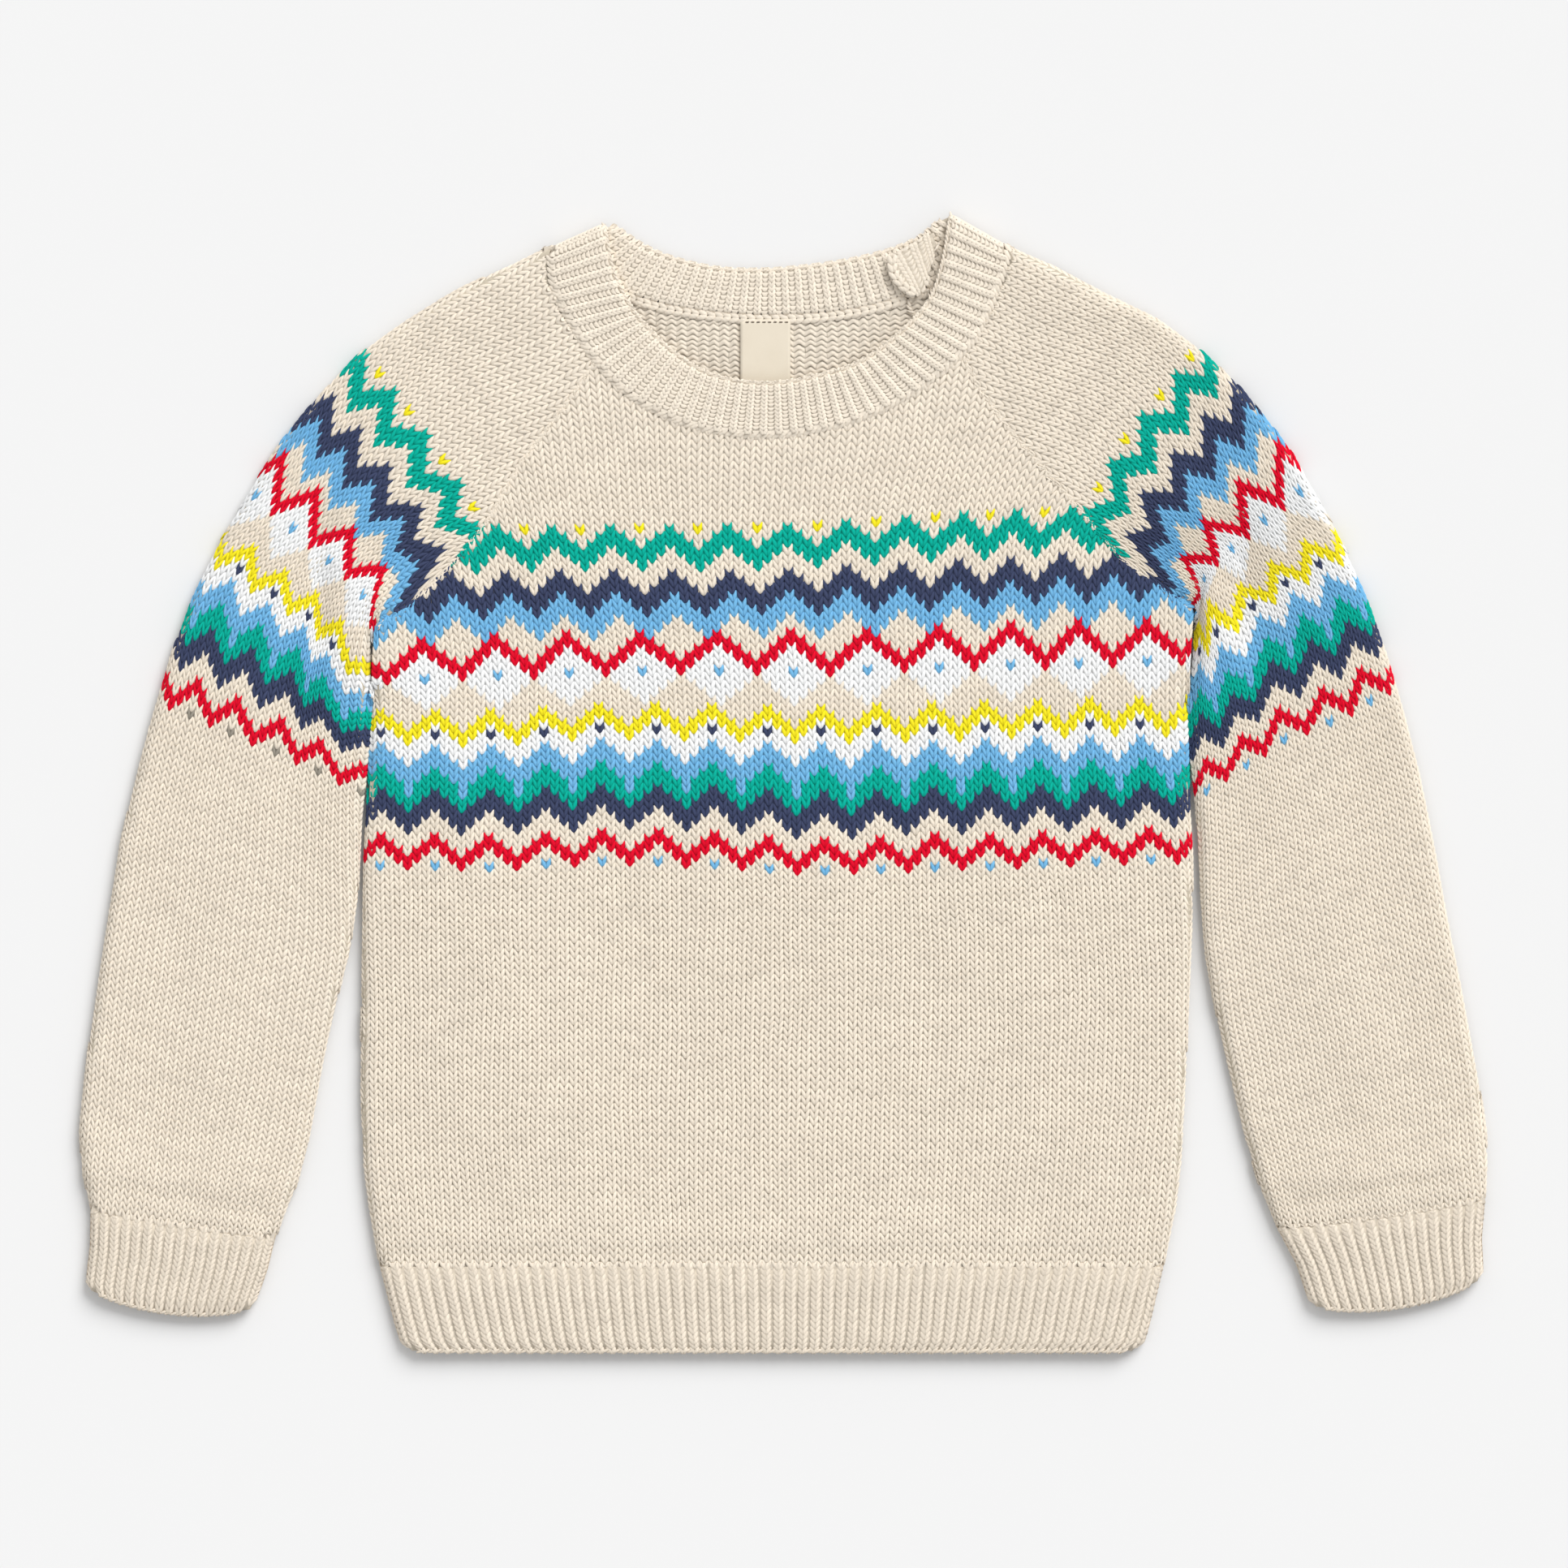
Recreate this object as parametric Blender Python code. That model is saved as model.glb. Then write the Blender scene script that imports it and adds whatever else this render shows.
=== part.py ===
"""A child's raglan jumper in knitted cotton, laid flat and face up.

The garment lies on the plane z = 0 with its underside flat. +X is to the viewer's right, +Y points to the
neck and +Z up. Front and back are two layers of cloth that lie on each other and meet at the side seams;
sleeves, cuffs and neckband are flattened tubes. Left and right in a piece's name are the wearer's, so the
left sleeve lies at +X. All sizes here are in millimetres and are written out in metres at the end.
"""

import math
from collections import namedtuple

import bmesh
import bpy
from mathutils import Vector

MILLIMETRE = 0.001
WELD_DISTANCE = 1e-7

# Cloth: the walls, the space between the two layers, and the gaps where pieces meet at a seam. A folded edge
# turns over within its reach, and a worn edge closes its wall's two faces by the pinch.
CLOTH = 2.4
BAND_CLOTH = 3.4
LAYER_GAP = 1.2
SEAM_GAP = 0.3
NECK_SEAM_GAP = 0.42
SEAM_TRIM = 0.2
FOLD_REACH = 3.5
BAND_FOLD_REACH = 3.8
RIB_RELIEF = 0.8
EDGE_PINCH = 0.22

# The neck stands a little higher than the rest, because its band is doubled.
NECK_CENTRE = Vector((-2.0, 187.0))
NECK_HALF_WIDTH = 86.0
NECK_HALF_LENGTH = 56.0
NECK_RISE = 0.8
NECK_RISE_REACH = 0.6

# Numbers of ribs and of columns and steps in the meshes.
HEM_RIBS = 60
CUFF_RIBS = 15
BAND_FRONT_RIBS = 41
BAND_BACK_RIBS = 30
FOLD_STEPS = 3
PANEL_COLUMNS = 16
SLEEVE_COLUMNS = 10
UNDERSIDE_COLUMNS = 3
CURVE_STEPS = 6

# Label and placket.
LABEL_WIDTH = 19.2
LABEL_LENGTH = 34.0
LABEL_THICKNESS = 0.5
LABEL_MIDDLE_X = -6.8
LABEL_TOP_Y = 177.4
PLACKET_THICKNESS = 1.7
PLACKET_ROUNDING = 0.425

# The neckband, a row for each rib line that is measured, from the wearer's right to the left: the place on
# its seam and the place on its folded top edge. The first and last rows are the creases at its two ends.
Band = namedtuple("Band", "seam_x seam_y top_x top_y")
NECK_FRONT = [
    Band(-88.5, 205.5, -68.5, 214.5),
    Band(-88.5, 201.5, -67.5, 210.5),
    Band(-87.0, 189.0, -64.5, 195.5),
    Band(-80.5, 176.0, -58.0, 182.0),
    Band(-71.5, 162.0, -52.0, 174.5),
    Band(-56.0, 147.0, -42.0, 165.0),
    Band(-32.5, 136.5, -26.5, 156.0),
    Band(-4.5, 133.5, -4.5, 153.0),
    Band(23.0, 138.0, 17.5, 157.0),
    Band(46.5, 148.0, 32.5, 163.0),
    Band(68.0, 164.5, 48.5, 176.0),
    Band(76.5, 177.5, 56.5, 186.5),
    Band(82.5, 193.0, 61.0, 201.0),
    Band(85.0, 202.0, 63.0, 213.5),
    Band(85.5, 206.0, 64.0, 218.3),
]
NECK_BACK = [
    Band(-88.5, 205.5, -68.5, 214.5),
    Band(-85.0, 203.5, -64.5, 213.0),
    Band(-68.0, 191.5, -54.0, 206.0),
    Band(-51.0, 184.5, -42.5, 201.0),
    Band(-29.5, 180.5, -25.0, 197.0),
    Band(-4.5, 179.0, -4.5, 196.5),
    Band(21.5, 180.5, 18.5, 199.0),
    Band(42.0, 185.0, 35.5, 202.5),
    Band(62.0, 192.0, 50.5, 208.0),
    Band(82.0, 204.0, 60.5, 216.0),
    Band(85.5, 206.0, 64.0, 218.3),
]
# The rows at which the raglan seams meet the neck seam.
FRONT_RAGLAN_TOPS = (4, 10)
BACK_RAGLAN_TOPS = (2, 8)

# The neckband's sections across its width: the share of the width, and the pinch that rounds its edges.
BandStep = namedtuple("BandStep", "share pinch")
BAND_STEPS = [BandStep(0.0, 0.12), BandStep(0.06, 0.0), BandStep(0.9, 0.0), BandStep(1.0, 0.3)]

# A sleeve's sections, from the one below its neck edge down to its cuff: the outer fold, and the inner end of
# its front and of its back. Down to the underarm, which is the row named by UNDERARM, the inner ends are on
# the raglan seams; below it both are the inner fold.
Sleeve = namedtuple("Sleeve", "fold_x fold_y front_x front_y back_x back_y")
UNDERARM = 6
RIGHT_SLEEVE = [
    Sleeve(-107.0, 197.0, -78.5, 151.0, -77.0, 176.5),
    Sleeve(-125.5, 188.5, -88.5, 137.5, -87.0, 160.5),
    Sleeve(-145.5, 176.0, -101.0, 121.5, -99.0, 140.0),
    Sleeve(-163.5, 163.5, -113.0, 100.0, -112.0, 117.0),
    Sleeve(-176.0, 150.0, -127.5, 82.5, -127.0, 93.5),
    Sleeve(-187.5, 137.0, -142.5, 68.0, -141.5, 72.0),
    Sleeve(-195.5, 126.0, -155.5, 60.0, -155.5, 60.0),
    Sleeve(-204.5, 110.5, -158.8, 54.0, -158.8, 54.0),
    Sleeve(-214.5, 94.0, -159.0, 42.5, -159.0, 42.5),
    Sleeve(-226.0, 71.5, -158.2, 28.5, -158.2, 28.5),
    Sleeve(-234.5, 48.5, -158.6, 14.5, -158.6, 14.5),
    Sleeve(-241.0, 27.0, -160.0, -2.5, -160.0, -2.5),
    Sleeve(-247.0, 5.0, -161.2, -21.0, -161.2, -21.0),
    Sleeve(-253.5, -22.5, -162.6, -44.5, -162.6, -44.5),
    Sleeve(-258.0, -50.5, -166.0, -66.0, -166.0, -66.0),
    Sleeve(-262.5, -78.5, -171.0, -84.5, -171.0, -84.5),
    Sleeve(-266.5, -106.5, -176.0, -108.0, -176.0, -108.0),
    Sleeve(-269.4, -133.0, -181.0, -135.0, -181.0, -135.0),
    Sleeve(-268.0, -149.0, -186.0, -154.0, -186.0, -154.0),
    Sleeve(-265.0, -162.5, -194.0, -173.5, -194.0, -173.5),
]
LEFT_SLEEVE = [
    Sleeve(104.5, 197.5, 75.0, 150.0, 73.5, 176.5),
    Sleeve(122.5, 188.0, 86.0, 135.5, 85.0, 160.0),
    Sleeve(143.0, 178.0, 100.5, 119.0, 99.5, 139.0),
    Sleeve(161.5, 164.5, 115.0, 102.5, 114.0, 117.5),
    Sleeve(175.5, 151.0, 128.0, 86.5, 127.5, 96.5),
    Sleeve(186.0, 138.0, 142.5, 76.0, 141.5, 80.0),
    Sleeve(195.0, 126.0, 156.5, 67.0, 156.5, 67.0),
    Sleeve(204.0, 109.5, 158.8, 59.0, 158.8, 59.0),
    Sleeve(211.0, 97.5, 157.4, 47.0, 157.4, 47.0),
    Sleeve(223.5, 70.5, 155.6, 30.5, 155.6, 30.5),
    Sleeve(231.5, 48.0, 155.9, 16.0, 155.9, 16.0),
    Sleeve(238.0, 25.5, 157.0, -1.0, 157.0, -1.0),
    Sleeve(243.5, 3.5, 158.4, -21.0, 158.4, -21.0),
    Sleeve(249.0, -23.0, 159.4, -44.5, 159.4, -44.5),
    Sleeve(254.0, -51.0, 161.2, -66.5, 161.2, -66.5),
    Sleeve(259.5, -78.5, 164.6, -84.5, 164.6, -84.5),
    Sleeve(264.5, -105.5, 169.5, -106.5, 169.5, -106.5),
    Sleeve(269.0, -132.5, 176.0, -134.0, 176.0, -134.0),
    Sleeve(269.4, -146.5, 181.5, -153.0, 181.5, -153.0),
    Sleeve(268.5, -158.5, 188.5, -169.5, 188.5, -169.5),
]

# A cuff's sections below its seam: its outer and inner edge, how far its middle bows down, and how far its
# two faces close on each other at the worn edge.
Cuff = namedtuple("Cuff", "outer_x outer_y inner_x inner_y bow pinch")
RIGHT_CUFF = [
    Cuff(-265.0, -162.5, -194.0, -173.5, 0.9, 0.0),
    Cuff(-265.3, -177.0, -197.0, -186.0, 1.8, 0.0),
    Cuff(-267.0, -191.0, -201.0, -197.5, 3.4, 0.0),
    Cuff(-265.8, -194.0, -202.8, -201.5, 5.2, EDGE_PINCH),
]
LEFT_CUFF = [
    Cuff(268.5, -158.5, 188.5, -169.5, 1.5, 0.0),
    Cuff(267.3, -174.0, 196.0, -184.0, 2.2, 0.0),
    Cuff(268.0, -187.0, 200.5, -197.5, 3.6, 0.0),
    Cuff(266.5, -190.5, 202.6, -200.5, 5.3, EDGE_PINCH),
]

# The body's side seams, below the underarm.
Side = namedtuple("Side", "y left right pinch")
BODY_SIDES = [
    Side(47.0, -156.5, 154.9, 0.0),
    Side(27.0, -156.6, 154.0, 0.0),
    Side(5.5, -158.2, 154.8, 0.0),
    Side(-25.5, -160.4, 156.8, 0.0),
    Side(-56.5, -161.2, 156.6, 0.0),
    Side(-87.5, -161.5, 155.0, 0.0),
    Side(-118.5, -161.8, 153.8, 0.0),
    Side(-143.5, -161.0, 152.5, 0.0),
    Side(-162.0, -158.7, 150.4, 0.0),
    Side(-174.5, -156.5, 147.8, 0.0),
    Side(-184.0, -154.4, 145.6, 0.0),
]
HEM_SIDES = [
    Side(-184.0, -154.4, 145.6, 0.0),
    Side(-205.5, -149.0, 140.6, 0.0),
    Side(-213.5, -146.6, 138.4, 0.0),
    Side(-217.5, -143.0, 134.4, EDGE_PINCH),
]

# The larger folds of the upper layer: a soft ridge, or with a negative height a trough, along a line.
Fold = namedtuple("Fold", "start_x start_y end_x end_y width height")
FOLDS = [
    Fold(-159.5, 75.0, -159.5, 34.0, 5.5, 2.6),
    Fold(-153.5, 80.0, -154.5, 64.0, 3.5, -0.9),
    Fold(-176.5, 108.0, -176.0, 52.0, 3.5, -0.8),
    Fold(-170.0, 100.0, -168.0, 45.0, 6.0, 1.3),
    Fold(-200.0, 96.0, -214.0, 30.0, 14.0, 0.9),
    Fold(158.5, 83.0, 157.5, 36.0, 5.5, 2.6),
    Fold(152.5, 86.0, 154.0, 70.0, 3.5, -0.9),
    Fold(174.5, 102.0, 175.0, 60.0, 3.5, -0.8),
    Fold(168.5, 98.0, 167.0, 50.0, 6.0, 1.3),
    Fold(200.0, 96.0, 212.0, 30.0, 14.0, 0.9),
    Fold(-255.0, -150.0, -205.0, -158.0, 10.0, 1.2),
    Fold(258.0, -146.0, 205.0, -154.0, 10.0, 1.2),
    Fold(-205.0, -20.0, -222.0, -110.0, 16.0, 0.8),
    Fold(204.0, -30.0, 224.0, -112.0, 16.0, 0.8),
    Fold(-120.0, -40.0, -104.0, -150.0, 26.0, 0.8),
    Fold(-20.0, 60.0, 6.0, -60.0, 30.0, 0.6),
    Fold(88.0, -20.0, 104.0, -140.0, 24.0, 0.9),
    Fold(-130.0, -176.0, 120.0, -176.0, 7.0, 0.5),
]

# The outline of the placket's end, clockwise from its upper corner by the neckband's fold.
PLACKET_OUTLINE = [
    (41.0, 201.4),
    (46.5, 203.8),
    (52.5, 207.4),
    (57.0, 210.8),
    (59.0, 206.0),
    (57.6, 199.5),
    (54.4, 190.0),
    (52.2, 186.6),
    (49.2, 186.2),
    (45.6, 188.6),
    (42.4, 192.4),
    (40.4, 197.0),
]

COTTON_CREAM = (0.80, 0.73, 0.60, 1.0)
LABEL_IVORY = (0.84, 0.79, 0.69, 1.0)
CLOTH_ROUGHNESS = 0.9


def flat(x, y):
    return Vector((x, y))


def soft_step(share):
    """0 below 0, 1 above 1, and a smooth climb between them."""
    share = max(0.0, min(1.0, share))
    return share * share * (3.0 - 2.0 * share)


def distance_to_line(place, start, end):
    along = end - start
    share = max(0.0, min(1.0, (place - start).dot(along) / along.length_squared))
    return (place - start - along * share).length


def upper_layer_floor(place):
    """Height of the underside of the upper layer at a place in plan."""
    from_neck = place - NECK_CENTRE
    reach = math.hypot(from_neck.x / NECK_HALF_WIDTH, from_neck.y / NECK_HALF_LENGTH)
    height = CLOTH + LAYER_GAP + NECK_RISE * soft_step(1.0 - (reach - 1.0) / NECK_RISE_REACH)
    for fold in FOLDS:
        apart = distance_to_line(place, flat(fold.start_x, fold.start_y), flat(fold.end_x, fold.end_y))
        height += fold.height * math.exp(-((apart / fold.width) ** 2))
    return height


class Path:
    """A line across the cloth in plan, read by the distance from its left end.

    A measure takes the place of the line's own lengths where several paths share one spacing.
    """

    def __init__(self, points, measure=None):
        self.points = points
        self.measure = measure or self.lengths()
        self.length = self.measure[-1]

    def lengths(self):
        total = [0.0]
        for here, there in zip(self.points, self.points[1:]):
            total.append(total[-1] + (there - here).length)
        return total

    def at(self, distance):
        for index in range(len(self.points) - 1):
            if distance <= self.measure[index + 1]:
                break
        step = self.measure[index + 1] - self.measure[index]
        share = (distance - self.measure[index]) / step
        return self.points[index].lerp(self.points[index + 1], share)

    def trimmed(self, from_start, from_end):
        """The path with a short length cut off each end."""
        points = list(self.points)
        points[0] = self.at(from_start)
        points[-1] = self.at(self.length - from_end)
        return Path(points)


def curve_through(points):
    """A smooth line through the points, CURVE_STEPS steps a span."""
    ends = [points[0] * 2 - points[1]] + points + [points[-1] * 2 - points[-2]]
    line = []
    for before, here, there, after in zip(ends, ends[1:], ends[2:], ends[3:]):
        for step in range(CURVE_STEPS):
            t = step / CURVE_STEPS
            line.append(
                here
                + (there - before) * (t / 2)
                + (before * 2 - here * 5 + there * 4 - after) * (t**2 / 2)
                + (here * 3 - before - there * 3 + after) * (t**3 / 2)
            )
    return line + [points[-1]]


def bowed_path(left, right, bow):
    """A line from left to right whose middle lies lower by bow."""
    down = Vector((right.y - left.y, left.x - right.x)).normalized()
    steps = 2 * CURVE_STEPS
    shares = [step / steps for step in range(steps + 1)]
    return Path([left.lerp(right, s) + down * (4.0 * bow * s * (1.0 - s)) for s in shares])


# A section is one row across a layer. A folded end turns over into the other layer; an end that isn't folded
# is cut off at a seam. The pinch closes the wall's two faces on each other by a share of its thickness.
Section = namedtuple("Section", "path left_fold right_fold pinch")

# One layer of a piece: "front" is the upper one. The columns are those between its folds, and the relief
# raises every second one on the side that faces up.
Layer = namedtuple("Layer", "side cloth fold_reach columns relief seam_lift")


def end_points(path, other, fold, reach, cloth, from_right):
    """An end of a row in plan: the edges of its outer and inner face, and the place where it is flat."""

    def inward(line):
        return line.at(line.length - reach if from_right else reach)

    edge = path.points[-1] if from_right else path.points[0]
    level = inward(path)
    if not fold:
        return edge, edge, level
    heading = (level - edge).normalized() + (inward(other) - edge).normalized()
    return edge, edge + heading.normalized() * cloth, level


# One column of a row: the places of its outer and its inner point in plan, the height that it turns about,
# how far it has risen from there, and its share of the relief.
Column = namedtuple("Column", "outer inner turns_about risen crest")


def end_columns(section, other_path, layer, from_right):
    """The columns of an end of a row, from its edge to the place where it is flat."""
    fold = section.right_fold if from_right else section.left_fold
    edge, inner_edge, level = end_points(
        section.path, other_path, fold, layer.fold_reach, layer.cloth, from_right
    )
    turns_about = (upper_layer_floor(edge) + layer.cloth) / 2 + layer.seam_lift
    columns = []
    for step in range(FOLD_STEPS):
        turn = math.radians(90.0) * step / FOLD_STEPS
        moved = 1.0 - math.cos(turn)
        risen = math.sin(turn) if fold else 1.0
        columns.append(Column(edge.lerp(level, moved), inner_edge.lerp(level, moved), turns_about, risen, 0.5))
    return columns


def row_of_points(section, other_path, layer):
    """The outer and the inner points of one row of a layer, from left to right."""
    columns = end_columns(section, other_path, layer, from_right=False)
    spacing = (section.path.length - 2 * layer.fold_reach) / layer.columns
    for number in range(layer.columns + 1):
        place = section.path.at(layer.fold_reach + spacing * number)
        columns.append(Column(place, place, 0.0, 1.0, number % 2))
    columns += reversed(end_columns(section, other_path, layer, from_right=True))

    outer, inner = [], []
    for column in columns:
        relief = layer.relief * column.crest
        if layer.side == "front":
            outer_level = upper_layer_floor(column.outer) + layer.cloth + relief
            inner_level = upper_layer_floor(column.inner)
        else:
            outer_level = 0.0
            inner_level = layer.cloth + relief
        middle = column.turns_about
        outer_point = Vector((*column.outer, middle + (outer_level - middle) * column.risen))
        inner_point = Vector((*column.inner, middle + (inner_level - middle) * column.risen))
        outer.append(outer_point.lerp(inner_point, section.pinch))
        inner.append(inner_point.lerp(outer_point, section.pinch))
    return outer, inner


def add_quad(mesh, corners):
    mesh.faces.new([mesh.verts.new(corner * MILLIMETRE) for corner in corners])


def add_layer(mesh, sections, others, layer, tube):
    """Adds the faces of one layer. In a tube a folded end is left open, for the other layer to close."""
    rows = [row_of_points(s, o.path, layer) for s, o in zip(sections, others)]
    last = len(rows[0][0]) - 1
    for (outer, inner), (next_outer, next_inner) in zip(rows, rows[1:]):
        for column in range(last):
            for here, there in ((outer, next_outer), (inner, next_inner)):
                add_quad(mesh, (here[column], here[column + 1], there[column + 1], there[column]))
    for outer, inner in (rows[0], rows[-1]):
        for column in range(last):
            add_quad(mesh, (outer[column], outer[column + 1], inner[column + 1], inner[column]))
    for index, (here, there) in enumerate(zip(rows, rows[1:])):
        pair = sections[index : index + 2]
        ends = (0, all(s.left_fold for s in pair)), (last, all(s.right_fold for s in pair))
        for column, folded in ends:
            if not (tube and folded):
                add_quad(mesh, (here[0][column], there[0][column], there[1][column], here[1][column]))


def cloth_object(name, collection, material, mesh):
    """Welds the faces into one closed body and makes it an object."""
    bmesh.ops.remove_doubles(mesh, verts=mesh.verts, dist=WELD_DISTANCE)
    bmesh.ops.triangulate(mesh, faces=mesh.faces)
    bmesh.ops.recalc_face_normals(mesh, faces=mesh.faces)
    data = bpy.data.meshes.new(name)
    mesh.to_mesh(data)
    mesh.free()
    data.materials.append(material)
    data.shade_smooth()
    piece = bpy.data.objects.new(name, data)
    collection.objects.link(piece)
    return piece


def cloth_panel(name, collection, material, sections, layer):
    mesh = bmesh.new()
    add_layer(mesh, sections, sections, layer, tube=False)
    return cloth_object(name, collection, material, mesh)


def cloth_tube(name, collection, material, front_sections, back_sections, front_layer, back_layer):
    mesh = bmesh.new()
    add_layer(mesh, front_sections, back_sections, front_layer, tube=True)
    add_layer(mesh, back_sections, front_sections, back_layer, tube=True)
    return cloth_object(name, collection, material, mesh)


def band_points(rows, share, clearance):
    """The places at one share of the neckband's width, 0 at its seam, moved by a clearance towards its top."""
    places = []
    for row in rows:
        seam, top = flat(row.seam_x, row.seam_y), flat(row.top_x, row.top_y)
        places.append(seam.lerp(top, share) + (top - seam).normalized() * clearance)
    return places


def neck_seam(rows, first, last):
    """The panels' side of the neck seam, between two rows of the band."""
    line = curve_through(band_points(rows, 0.0, -NECK_SEAM_GAP / 2))
    return line[first * CURVE_STEPS : last * CURVE_STEPS + 1]


def inner_end(row, side):
    """The inner end of a sleeve's row on its front or its back."""
    return flat(row.front_x, row.front_y) if side == "front" else flat(row.back_x, row.back_y)


def raglan_ends(side):
    """The right and the left sleeve's raglan seam on one side, from below the neck to the underarm."""
    seams = []
    for sleeve in (RIGHT_SLEEVE, LEFT_SLEEVE):
        seams.append([inner_end(row, side) for row in sleeve[: UNDERARM + 1]])
    return zip(*seams)


def panel_sections(side, neck_rows, raglan_tops):
    """The rows of the front or the back, from its neck edge to the hem seam.

    The neck edge is a curve, and the rows below it straighten out towards the underarm.
    """
    neck = Path(neck_seam(neck_rows, *raglan_tops))
    count = 2 * PANEL_COLUMNS
    shares = [step / count for step in range(count + 1)]
    chord_start, chord_end = neck.points[0], neck.points[-1]
    sag = [neck.at(neck.length * s) - chord_start.lerp(chord_end, s) for s in shares]
    deepest = -min(offset.y for offset in sag)
    neck_bottom = neck.at(neck.length / 2).y

    sections = [Section(neck.trimmed(SEAM_TRIM, SEAM_TRIM), False, False, 0.0)]
    seams = list(raglan_ends(side))
    underarm_level = (seams[-1][0].y + seams[-1][1].y) / 2
    for number, (left, right) in enumerate(seams, 1):
        even = neck_bottom + (underarm_level - neck_bottom) * number / len(seams)
        drop = ((left.y + right.y) / 2 - even) / deepest
        path = Path([left.lerp(right, s) + offset * drop for s, offset in zip(shares, sag)])
        at_underarm = number == len(seams)
        path = path.trimmed(SEAM_TRIM, SEAM_TRIM)
        sections.append(Section(path, at_underarm, at_underarm, 0.0))
    for row in BODY_SIDES[:-1]:
        sections.append(Section(Path([flat(row.left, row.y), flat(row.right, row.y)]), True, True, 0.0))
    row = BODY_SIDES[-1]
    level = row.y + SEAM_GAP / 2
    sections.append(Section(Path([flat(row.left, level), flat(row.right, level)]), True, True, 0.0))
    return sections


def hem_sections():
    sections = []
    for row in HEM_SIDES:
        level = row.y - (SEAM_GAP / 2 if row is HEM_SIDES[0] else 0.0)
        sections.append(Section(Path([flat(row.left, level), flat(row.right, level)]), True, True, row.pinch))
    return sections


def sleeve_neck_edge(side, wearers_right):
    """The sleeve's edge along the neck seam, from the viewer's left to the right."""
    if side == "front":
        rows, tops = NECK_FRONT, FRONT_RAGLAN_TOPS
    else:
        rows, tops = NECK_BACK, BACK_RAGLAN_TOPS
    if wearers_right:
        return Path(neck_seam(rows, 0, tops[0])).trimmed(0.0, SEAM_TRIM)
    return Path(neck_seam(rows, tops[1], len(rows) - 1)).trimmed(SEAM_TRIM, 0.0)


def sleeve_sections(side, stations, cuff, wearers_right):
    """The rows of one layer of a sleeve, from its neck edge to the cuff seam."""

    def section(path, folded):
        return Section(path, wearers_right or folded, folded or not wearers_right, 0.0)

    sections = [section(sleeve_neck_edge(side, wearers_right), False)]
    for number, row in enumerate(stations):
        fold = flat(row.fold_x, row.fold_y)
        inner = inner_end(row, side)
        ends = (fold, inner) if wearers_right else (inner, fold)
        path = Path(list(ends))
        if number <= UNDERARM:
            path = path.trimmed(0.0, SEAM_TRIM) if wearers_right else path.trimmed(SEAM_TRIM, 0.0)
        if row is stations[-1]:
            path = cuff_path(cuff[0], wearers_right, SEAM_GAP / 2)
        sections.append(section(path, number >= UNDERARM))
    return sections


def cuff_path(row, wearers_right, lift):
    """One row of a cuff, moved up by a lift."""
    up = Vector((0.0, lift))
    outer, inner = flat(row.outer_x, row.outer_y) + up, flat(row.inner_x, row.inner_y) + up
    return bowed_path(outer, inner, row.bow) if wearers_right else bowed_path(inner, outer, row.bow)


def cuff_sections(rows, wearers_right):
    sections = []
    for row in rows:
        lift = -SEAM_GAP / 2 if row is rows[0] else 0.0
        sections.append(Section(cuff_path(row, wearers_right, lift), True, True, row.pinch))
    return sections


def band_sections(rows):
    measure = Path(curve_through(band_points(rows, 0.5, 0.0))).measure
    sections = []
    for step in BAND_STEPS:
        clearance = NECK_SEAM_GAP / 2 if step.share == 0.0 else 0.0
        line = curve_through(band_points(rows, step.share, clearance))
        sections.append(Section(Path(line, measure), True, True, step.pinch))
    return sections


def cloth_material(name, colour):
    material = bpy.data.materials.new(name)
    material.use_nodes = True
    shader = material.node_tree.nodes["Principled BSDF"]
    shader.inputs["Base Color"].default_value = colour
    shader.inputs["Roughness"].default_value = CLOTH_ROUGHNESS
    return material


def panel_layer(side, columns, relief=0.0):
    lift = SEAM_GAP / 2 if side == "front" else -SEAM_GAP / 2
    return Layer(side, CLOTH, FOLD_REACH, columns, relief, lift)


def build_body(collection, knit, rib):
    front = panel_sections("front", NECK_FRONT, FRONT_RAGLAN_TOPS)
    back = panel_sections("back", NECK_BACK, BACK_RAGLAN_TOPS)
    cloth_panel("front", collection, knit, front, panel_layer("front", PANEL_COLUMNS))
    cloth_panel("back", collection, knit, back, panel_layer("back", PANEL_COLUMNS))
    hem = hem_sections()
    ribbed = panel_layer("front", 2 * HEM_RIBS, RIB_RELIEF)
    cloth_panel("hem_rib_front", collection, rib, hem, ribbed)
    cloth_panel("hem_rib_back", collection, rib, hem, panel_layer("back", UNDERSIDE_COLUMNS))


def build_sleeve(collection, knit, rib, side_name, stations, cuff, wearers_right):
    upper = Layer("front", CLOTH, FOLD_REACH, SLEEVE_COLUMNS, 0.0, 0.0)
    lower = Layer("back", CLOTH, FOLD_REACH, UNDERSIDE_COLUMNS, 0.0, 0.0)
    front = sleeve_sections("front", stations, cuff, wearers_right)
    back = sleeve_sections("back", stations, cuff, wearers_right)
    cloth_tube("sleeve_" + side_name, collection, knit, front, back, upper, lower)
    rows = cuff_sections(cuff, wearers_right)
    ribbed = Layer("front", CLOTH, FOLD_REACH, 2 * CUFF_RIBS, RIB_RELIEF, 0.0)
    cloth_tube("cuff_" + side_name, collection, rib, rows, rows, ribbed, lower)


def build_neckband(collection, rib):
    upper = Layer("front", BAND_CLOTH, BAND_FOLD_REACH, 2 * BAND_FRONT_RIBS, RIB_RELIEF, 0.0)
    lower = Layer("back", BAND_CLOTH, BAND_FOLD_REACH, 2 * BAND_BACK_RIBS, RIB_RELIEF, 0.0)
    front, back = band_sections(NECK_FRONT), band_sections(NECK_BACK)
    cloth_tube("neckband", collection, rib, front, back, upper, lower)


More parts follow.
